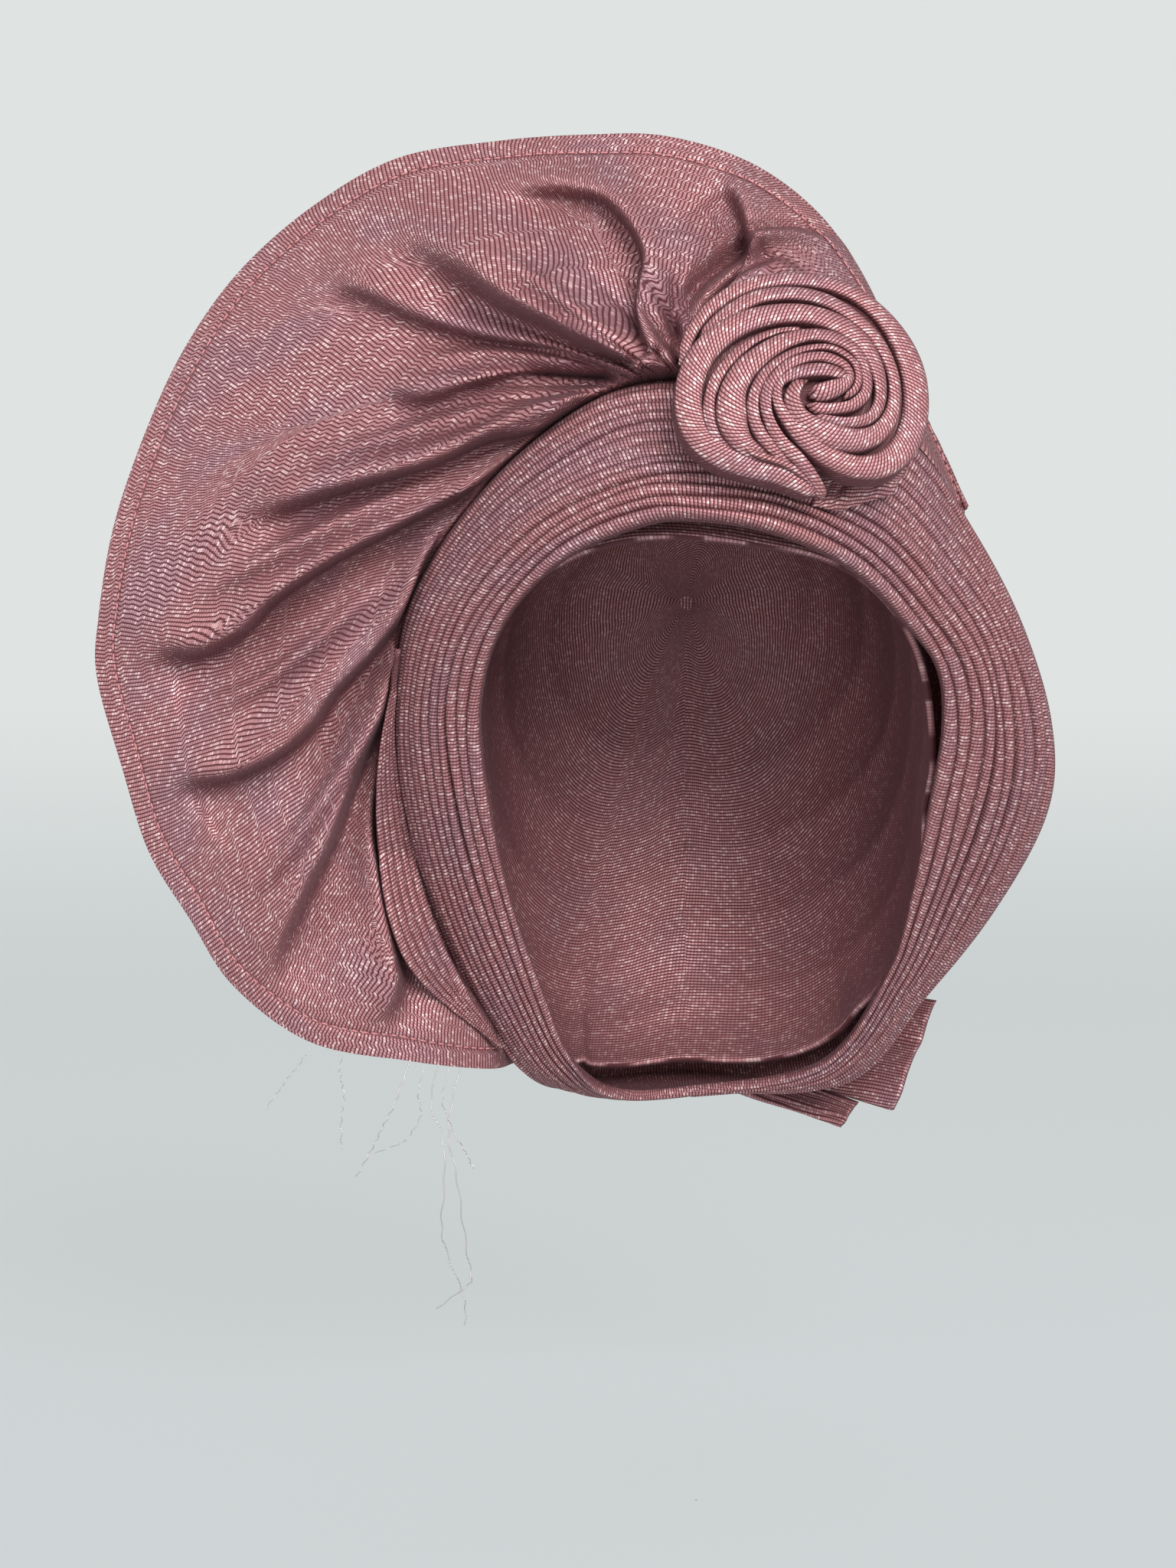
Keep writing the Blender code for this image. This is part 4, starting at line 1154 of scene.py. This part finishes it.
def make_band():
    section, face_points, painted_shade = band_section()
    closed = ringed(section)
    column, row = grid_corners(*section.shape[:2], wrap_columns=True, wrap_rows=True)
    # A pleat's ribs cross it squarely, so all of its rows share the distance run along its middle row.
    pleat_rows = len(PLEAT_STEPS)
    strip = np.minimum(row[..., :1] // pleat_rows, PLEATS)
    middle_rows = np.append(np.arange(PLEATS) * pleat_rows + pleat_rows // 2, face_points + 8)
    u = lengths_along(closed, 0)[:, middle_rows][column, strip] + strip * 0.41
    v = lengths_along(ringed(closed, axis=1), 1)[column, row]
    band = grid_piece("band_cloth", section, u, v, kit()["rose"], wrap_columns=True, wrap_rows=True)
    paint_shade(band, 0.6 * painted_shade)
    return settle(band, "rose_cloth", "pleated_band")


CROWN_FOLDS = 7.0
CROWN_FOLD_HEIGHT = 1.5


def make_crown():
    """The cloth wound over the head: rings from behind the face band to a point high at the back, each laid
    on the head's surface with soft raised folds between them."""
    columns, rows = 260, 84
    turn, height = grid_places(np.linspace(0, 1, columns, endpoint=False), np.linspace(0, 0.985, rows))
    rim = band_edges(turn * len(BAND))[0] + OPENING_BACK * CROWN_SETBACK
    rim_way = unit(rim - HEAD_CENTRE)
    up = height[..., None] * math.pi / 2
    way = unit(rim_way * np.cos(up) + OPENING_BACK * np.sin(up))
    winding = CROWN_FOLDS * height + 0.22 * np.sin(4 * math.pi * turn) + 0.12 * ripple(turn * 12, height * 4, 31)
    folds = np.abs(np.sin(math.pi * winding)) ** 0.6
    fade = np.sin(math.pi * np.clip(height * 1.12, 0, 1)) ** 0.7
    rim_height = np.clip(height_above_head(rim), 0, 2)[..., 0] * np.clip(1 - 3 * height, 0, 1)
    above = CROWN_FOLD_HEIGHT * folds * fade + rim_height + 0.25 * ripple(turn * 80, height * 14, 37) * fade
    points = on_head(HEAD_CENTRE + way * HEAD_HALF_SIZE[0], above[..., None])
    closed = ringed(points)
    v = np.broadcast_to(lengths_along(closed, 0)[:, rows // 3, None], closed.shape[:2])
    u = lengths_along(closed, 1) + 0.05 * v
    # The darker copy of the cloth: painted shade over the whole crown.
    crown = grid_piece("crown_cloth", points, u, v, kit()["rose_dark"], wrap_columns=True, closed=["last"])
    cloth_wall(crown, bpy.context.scene.head_wrap_sizes.crown_wall, 1.0)
    return settle(crown, "rose_cloth_shaded", "crown_wrap")


def rosette_frame():
    """Unit directions across, up and out of the rosette's flat back."""
    out = unit(ROSETTE_AXIS)
    across = unit(np.cross(out, [0.0, 0.0, -1.0]))
    return across, np.cross(out, across), out


def rosette_point(flat, level):
    """Points of the rosette from places seen from its front and heights above its back."""
    across, up, out = rosette_frame()
    forward = unit(np.array([0.02, -1.0, 0.05]))
    base = ROSETTE_CENTRE + out * ROSETTE_BASE
    return base + flat[..., :1] * across + flat[..., 1:] * up + (level[..., None] - ROSETTE_BASE) * forward


def rosette_height(flat):
    """Height of the dome that the rosette's pleats lie on: foot + dome * (1 - share of the reach squared)."""
    share = np.linalg.norm(flat, axis=-1) / ROSETTE_REACH
    return ROSETTE_FOOT + ROSETTE_DOME * (1 - np.clip(share, 0, 1.1) ** 2)


ROSETTE_STEP = 0.55
PLEAT_SIDES = 26
# The foot of a pleat's section. Columns: across, up.
PLEAT_FOOT = ((0.97, -1.2), (0.9, -2.2), (0.4, -2.4), (-0.4, -2.4), (-0.9, -2.2), (-0.97, -1.2))


def rosette_path(table, seed):
    """A pleat's line at even steps, its half width, the share of the way along and how the ends narrow it."""
    fine = smooth_line(table, 1200)
    run = lengths_along(fine[:, :2], 0)
    steps = max(60, int(run[-1] / ROSETTE_STEP))
    rows = np.array([np.interp(np.linspace(0, run[-1], steps), run, column) for column in fine.T]).T
    flat, half, lift = rows[:, :2], rows[:, 2], rows[:, 3]
    flat = flat + np.clip(flat[:, 1:] - 4, 0, None) * np.array([0, ROSETTE_RISE])
    share = np.linspace(0, 1, steps)
    half = half * (1 + 0.07 * ripple(share * 25, share * 0, seed))
    ends = smooth_step(0.0, 0.025, share) * smooth_step(0.0, 0.025, 1 - share)
    return rosette_point(flat, rosette_height(flat) - 2.0 + lift * 0.8), half, share, 0.35 + 0.65 * ends


def rosette_pleat(table, seed):
    """One pleat of the rosette as a tube [step, side] along its line, the line, and the painted shade of each
    point, darkest down its sides and foot. The section is a flat-topped arch over sides that go down to a flat
    foot, as wide as the table says and narrowing to the two ends. It leans so that its inner edge stands over
    the next pleat."""
    line, half, share, narrow = rosette_path(table, seed)
    along = unit(np.gradient(line, axis=0))
    side = unit(np.cross(along, rosette_frame()[2]))
    rise = np.cross(side, along)
    arc = np.linspace(0, math.pi, PLEAT_SIDES - len(PLEAT_FOOT))
    foot_across, foot_up = np.array(PLEAT_FOOT).T
    across = np.append(-np.sign(np.cos(arc)) * np.abs(np.cos(arc)) ** 0.8, foot_across)
    up = np.append(np.sin(arc) ** 0.45, foot_up)
    lean = 0.26 + 0.10 * np.sin(share * 9 + seed)
    wide = across * (half * 0.99 * narrow)[:, None]
    raised = (up + lean[:, None] * across * (up > 0)) * ((1.3 + 0.45 * half) * narrow)[:, None]
    points = line[:, None] + side[:, None] * wide[..., None] + rise[:, None] * raised[..., None]
    # Painted shade down the pleat's sides and foot.
    return points, line, np.broadcast_to(np.clip(1.05 - 1.5 * up, 0, 1), wide.shape)


def make_rosette():
    """All the pleats of the rosette as one piece of closed tubes."""
    points, faces, places, painted_shades, caps = [], [], [], [], []
    first = 0
    for seed, table in enumerate(ROSETTE_PLEATS):
        tube, line, painted_shade = rosette_pleat(table, seed + 61)
        steps, sides = tube.shape[:2]
        column, row = grid_corners(steps, sides, wrap_rows=True)
        v = lengths_along(ringed(tube, axis=1), 1)
        u = lengths_along(line, 0)[:, None] + 0.55 * v + 13.7 * seed
        faces.append((first + column * sides + row % sides)[..., ::-1].reshape(-1, 4))
        places.append(np.stack([u[column, row], v[column, row]], axis=-1)[..., ::-1, :].reshape(-1, 4, 2))
        caps += [first + np.arange(sides)[::-1], first + (steps - 1) * sides + np.arange(sides)]
        points.append(tube.reshape(-1, 3))
        painted_shades.append(painted_shade.reshape(-1))
        first += steps * sides
    points, faces, places, painted_shades = [np.concatenate(lists) for lists in (points, faces, places, painted_shades)]
    # The lighter copy of the cloth: painted light over the rosette.
    pleats = mesh_of("rosette_pleats", points, faces, places, kit()["rose_light"], caps)
    paint_shade(pleats, painted_shades)
    settle(pleats, "rose_cloth_light", "rosette")
    return pleats, make_rosette_core()


# Share of the core's rows that lie on its top.
CORE_TOP = 0.8


def make_rosette_core():
    """The cloth behind the rosette's pleats: a low dome with the rosette's outline, whose outer rows turn down
    to a flat back."""
    columns, rows = 120, 16
    angle, ring = grid_places(np.linspace(0, 2 * math.pi, columns, endpoint=False), np.linspace(0, 1, rows))
    outline = np.array(ROSETTE_OUTLINE)[:, None]
    outline = smooth_rows(outline, angle / (2 * math.pi) * len(outline), closed=True)[..., 0]
    share = np.clip(ring / CORE_TOP, 0.01, 1) * 0.93
    flat = np.stack([np.cos(angle), np.sin(angle)], axis=-1) * (outline * share)[..., None]
    top = rosette_height(flat) - 4.5
    edge = top[:, 12:13] * (1 - (ring - CORE_TOP) / (1 - CORE_TOP)) + 0.3
    points = rosette_point(flat, np.where(ring < CORE_TOP, top, edge))
    closed = ringed(points)
    # The darker copy of the cloth and an even painted shade all over: the core lies in the pleats' shade.
    core = grid_piece(
        "rosette_core", points, lengths_along(closed, 0), lengths_along(closed, 1), kit()["rose_dark"],
        flip=True, wrap_columns=True, closed=["first", "last"])
    paint_shade(core, np.full(points.shape[:2], 0.8))
    settle(core, "rose_cloth_light")
    return core


def folded_sheet(name, upper, lower, folds, fold_height, material, seed):
    """A folded end of cloth between an upper and a lower edge [column]: straight across, raised in rounded
    folds that run its length."""
    around, down = grid_places(np.linspace(0, 1, len(upper)), np.linspace(0, 1, 56))
    surface = upper[:, None] * (1 - down[..., None]) + lower[:, None] * down[..., None]
    waves = np.sin(2 * math.pi * folds * down + 0.6 * ripple(around * 4, down * 3, seed))
    surface[..., 1] += fold_height * waves + 0.35 * ripple(around * 18, down * 16, seed + 1)
    u, v = lengths_along(surface, 1), lengths_along(surface, 0)
    piece = grid_piece(name, surface, u, v, material, flip=True)
    return cloth_wall(piece, bpy.context.scene.head_wrap_sizes.tail_wall, 0.0)


def above_band(station, across, lift):
    """Points a given height above the band's face."""
    step = 0.02
    along = band_along(station)
    outwards = band_front(station, across + step) - band_front(station, across - step)
    return band_front(station, across) + unit(np.cross(along, outwards)) * lift[:, None]


def make_ends():
    """The rosette's tucked end, the two tails and the knot at the nape."""
    station, upper_across, upper_lift, lower_across, lower_lift = smooth_line(ROSETTE_END, 60).T
    upper = above_band(station, upper_across, upper_lift)
    lower = above_band(station, lower_across, lower_lift)
    # The lighter copy of the cloth: painted light over the tuck.
    wedge = folded_sheet("rosette_tuck", upper, lower, 1, 0.5, kit()["rose_light"], 51)
    settle(wedge, "rose_cloth_light", "rosette_end")
    tails = []
    # The inner tail gets the darker copy of the cloth: painted shade.
    for name, table, folds, height, node, shade, slot_name in (
        ("outer_tail_cloth", OUTER_TAIL, 2, 2.0, "outer_tail", "rose", "rose_cloth"),
        ("inner_tail_cloth", INNER_TAIL, 1, 1.0, "inner_tail", "rose_dark", "rose_cloth_shaded"),
    ):
        edges = smooth_line(table, 90)
        piece = folded_sheet(name, edges[:, 0:3], edges[:, 3:6], folds, height, kit()[shade], 53 + folds)
        tails.append(settle(piece, slot_name, node))
    make_nape_knot()
    return wedge, *tails


def make_nape_knot():
    """The knot behind the neck: an upright rounded bundle whose surface is drawn into slanting folds."""
    columns, rows = 120, 60
    turn, up = grid_places(
        np.linspace(0, 2 * math.pi, columns, endpoint=False), np.linspace(-0.497, 0.497, rows) * math.pi)
    folds = 0.06 * np.sin(7 * turn + 5 * up) + 0.03 * np.sin(15 * turn - 4 * up)
    way = np.stack([np.cos(turn) * np.cos(up), np.sin(turn) * np.cos(up), np.sin(up)], axis=-1)
    share = (np.abs(way) ** 2.6).sum(-1, keepdims=True) ** (-1 / 2.6)
    points = NAPE_KNOT_CENTRE + way * share * (0.94 + folds * np.cos(up))[..., None] * NAPE_KNOT_SIZE / 2
    closed = ringed(points)
    u = lengths_along(closed, 1)
    v = np.broadcast_to(lengths_along(closed, 0)[:, rows // 2, None], u.shape)
    knot = grid_piece(
        "nape_knot_cloth", points, u, v, kit()["rose"], wrap_columns=True, closed=["first", "last"])
    settle(knot, "rose_cloth", "nape_knot")
    return knot


def make_thread(name, table, diameter, nodes, seed):
    """A ravelled yarn on the smooth curve through its points, crinkled a little from side to side."""
    count = 64
    points = smooth_line(table, count)
    share = np.linspace(0, 1, count)
    loose = smooth_step(0.0, 0.15, share)
    points[:, 0] += 0.35 * np.sin(share * 60 + seed) * loose
    points[:, 1] += 0.3 * np.cos(share * 47 + seed) * loose
    points = points * MM
    curve = bpy.data.curves.new(name, "CURVE")
    curve.dimensions = "3D"
    curve.bevel_depth = diameter / 2
    curve.bevel_resolution = 2
    curve.use_fill_caps = True
    spline = curve.splines.new("POLY")
    spline.points.add(count - 1)
    spline.points.foreach_set("co", np.column_stack([points, np.ones(count)]).astype(np.float32).reshape(-1))
    obj = settle(place_object(name, curve, kit()["silver"]), "silver_yarn", *nodes)
    return obj


def stage_material(floor, wall, floor_level):
    """Paper that goes from the floor's colour to the wall's with height. A light of its own keeps it pale and
    even, as if it were lit from behind."""
    material, tree, shader = new_material("backdrop_paper")
    place = add_node(tree, "TexCoord")
    level = add_node(tree, "SeparateXYZ", Vector=place.outputs["Object"]).outputs["Z"]
    top = floor_level + STAGE_FADE
    paper = mixed(tree, mapped(tree, level, floor_level, top), solid(floor), solid(wall))
    glow = mapped(tree, level, floor_level, top, *STAGE_GLOW)
    fill(
        tree, shader, Base_Color=paper, Roughness=0.9, Emission_Color=(0.95, 0.975, 0.97, 1.0),
        Emission_Strength=glow)
    return material


def make_stage(settings):
    """A floor that curves up into a wall all round: a profile turned about the upright through the origin."""
    floor_level = SOLID_BOX[0].z / MM - FLOOR_BELOW
    distance, height = smooth_line(STAGE_PROFILE, 60).T
    turn = np.linspace(0, 2 * math.pi, 96, endpoint=False)[:, None]
    points = np.stack(
        [np.cos(turn) * distance, np.sin(turn) * distance, height + floor_level + 0 * turn], axis=-1)
    flat = np.zeros((len(turn) + 1, len(distance)))
    paper = stage_material(settings.floor, settings.paper, floor_level * MM)
    stage = grid_piece("studio_floor", points, flat, flat, paper, flip=True, wrap_columns=True)


def make_light(power, name, place, aim, size, colour):
    lamp = bpy.data.lights.new(name, "AREA")
    lamp.shape = "RECTANGLE"
    lamp.size, lamp.size_y = size
    lamp.energy = power
    lamp.color = colour
    obj = place_object(name, lamp)
    obj.location = place
    obj.rotation_euler = (Vector(aim) - Vector(place)).to_track_quat("-Z", "Y").to_euler()


def make_camera():
    data = bpy.data.cameras.new("photo_camera")
    data.lens = CAMERA_LENS
    data.sensor_width = 36.0
    data.clip_start = 0.05
    data.clip_end = 20.0
    obj = place_object("photo_camera", data)
    obj.location = CAMERA_PLACE
    obj.rotation_euler = (math.pi / 2, 0, 0)
    bpy.context.scene.camera = obj


class HEADWRAP_OT_stage(bpy.types.Operator):
    """Sets up the camera, the floor and the soft studio lights"""

    bl_idname = "headwrap.stage"
    bl_label = "Stage, camera and lights"

    def execute(self, context):
        settings = context.scene.head_wrap_stage
        make_camera()
        make_stage(settings)
        powers = (settings.key_power, settings.fill_power, settings.fill_power * TOP_LIGHT_SHARE)
        for power, light in zip(powers, LIGHTS):
            make_light(power, *light)
        world = bpy.data.worlds.new("pale room")
        world.use_nodes = True
        background = world.node_tree.nodes["Background"]
        background.inputs["Color"].default_value = (0.96, 0.985, 1.0, 1.0)
        background.inputs["Strength"].default_value = settings.sky
        context.scene.world = world
        context.scene.view_settings.view_transform = "Standard"
        return {"FINISHED"}


class HEADWRAP_OT_threads(bpy.types.Operator):
    """Hangs the ravelled yarns under the fan's hem"""

    bl_idname = "headwrap.threads"
    bl_label = "Ravelled yarns"

    def execute(self, context):
        diameter = context.scene.head_wrap_sizes.thread_diameter
        for seed, (name, table) in enumerate(THREADS.items()):
            make_thread(name + "_yarn", table, diameter, [name], seed)
        for seed, (name, table) in enumerate(EXTRA_THREADS.items()):
            make_thread(name, table, diameter * 0.75, [], seed + 10)
        return {"FINISHED"}


class HEADWRAP_OT_crown(bpy.types.Operator):
    """Winds the cloth over the top and back of the head"""

    bl_idname = "headwrap.crown"
    bl_label = "Crown"

    def execute(self, context):
        crown = make_crown()
        return {"FINISHED"}


class HEADWRAP_OT_band(bpy.types.Operator):
    """Lays the twelve pleats of the band round the face"""

    bl_idname = "headwrap.band"
    bl_label = "Pleated band"

    def execute(self, context):
        band = make_band()
        return {"FINISHED"}


class HEADWRAP_OT_fan(bpy.types.Operator):
    """Opens the fan and sews its hem"""

    bl_idname = "headwrap.fan"
    bl_label = "Fan and hem"

    def execute(self, context):
        fan, stitches, edge = make_fan()
        return {"FINISHED"}


class HEADWRAP_OT_rosette(bpy.types.Operator):
    """Winds the rosette over the brow"""

    bl_idname = "headwrap.rosette"
    bl_label = "Rosette"

    def execute(self, context):
        make_rosette()
        return {"FINISHED"}


class HEADWRAP_OT_ends(bpy.types.Operator):
    """Tucks in the cloth's ends and ties them at the nape"""

    bl_idname = "headwrap.ends"
    bl_label = "Tucked ends and nape knot"

    def execute(self, context):
        tuck, outer_tail, inner_tail = make_ends()
        return {"FINISHED"}


OPERATORS = (
    HEADWRAP_OT_stage,
    HEADWRAP_OT_threads,
    HEADWRAP_OT_crown,
    HEADWRAP_OT_band,
    HEADWRAP_OT_fan,
    HEADWRAP_OT_rosette,
    HEADWRAP_OT_ends,
)


class HEADWRAP_PT_panel(bpy.types.Panel):
    """Lists the pieces of the head wrap"""

    bl_idname = "HEADWRAP_PT_panel"
    bl_label = "Head wrap"
    bl_space_type = "VIEW_3D"
    bl_region_type = "UI"
    bl_category = "Head wrap"

    def draw(self, context):
        for operator in OPERATORS:
            self.layout.operator(operator.bl_idname)
        for group in ("head_wrap_cloth", "head_wrap_sizes", "head_wrap_stage"):
            settings = getattr(context.scene, group)
            box = self.layout.box()
            for name in settings.__annotations__:
                box.prop(settings, name)


GROUPS = {
    "head_wrap_cloth": HeadWrapCloth,
    "head_wrap_sizes": HeadWrapSizes,
    "head_wrap_stage": HeadWrapStage,
}


def register():
    for name, group in GROUPS.items():
        bpy.utils.register_class(group)
        setattr(bpy.types.Scene, name, bpy.props.PointerProperty(type=group))
    for operator in OPERATORS:
        bpy.utils.register_class(operator)
    bpy.utils.register_class(HEADWRAP_PT_panel)


def unregister():
    bpy.utils.unregister_class(HEADWRAP_PT_panel)
    for operator in reversed(OPERATORS):
        bpy.utils.unregister_class(operator)
    for name, group in GROUPS.items():
        delattr(bpy.types.Scene, name)
        bpy.utils.unregister_class(group)


def main():
    register()
    bpy.ops.headwrap.stage()
    bpy.ops.headwrap.threads()
    bpy.ops.headwrap.crown()
    bpy.ops.headwrap.band()
    bpy.ops.headwrap.fan()
    bpy.ops.headwrap.rosette()
    bpy.ops.headwrap.ends()
    bpy.context.view_layer.update()


if __name__ == "__main__":
    main()
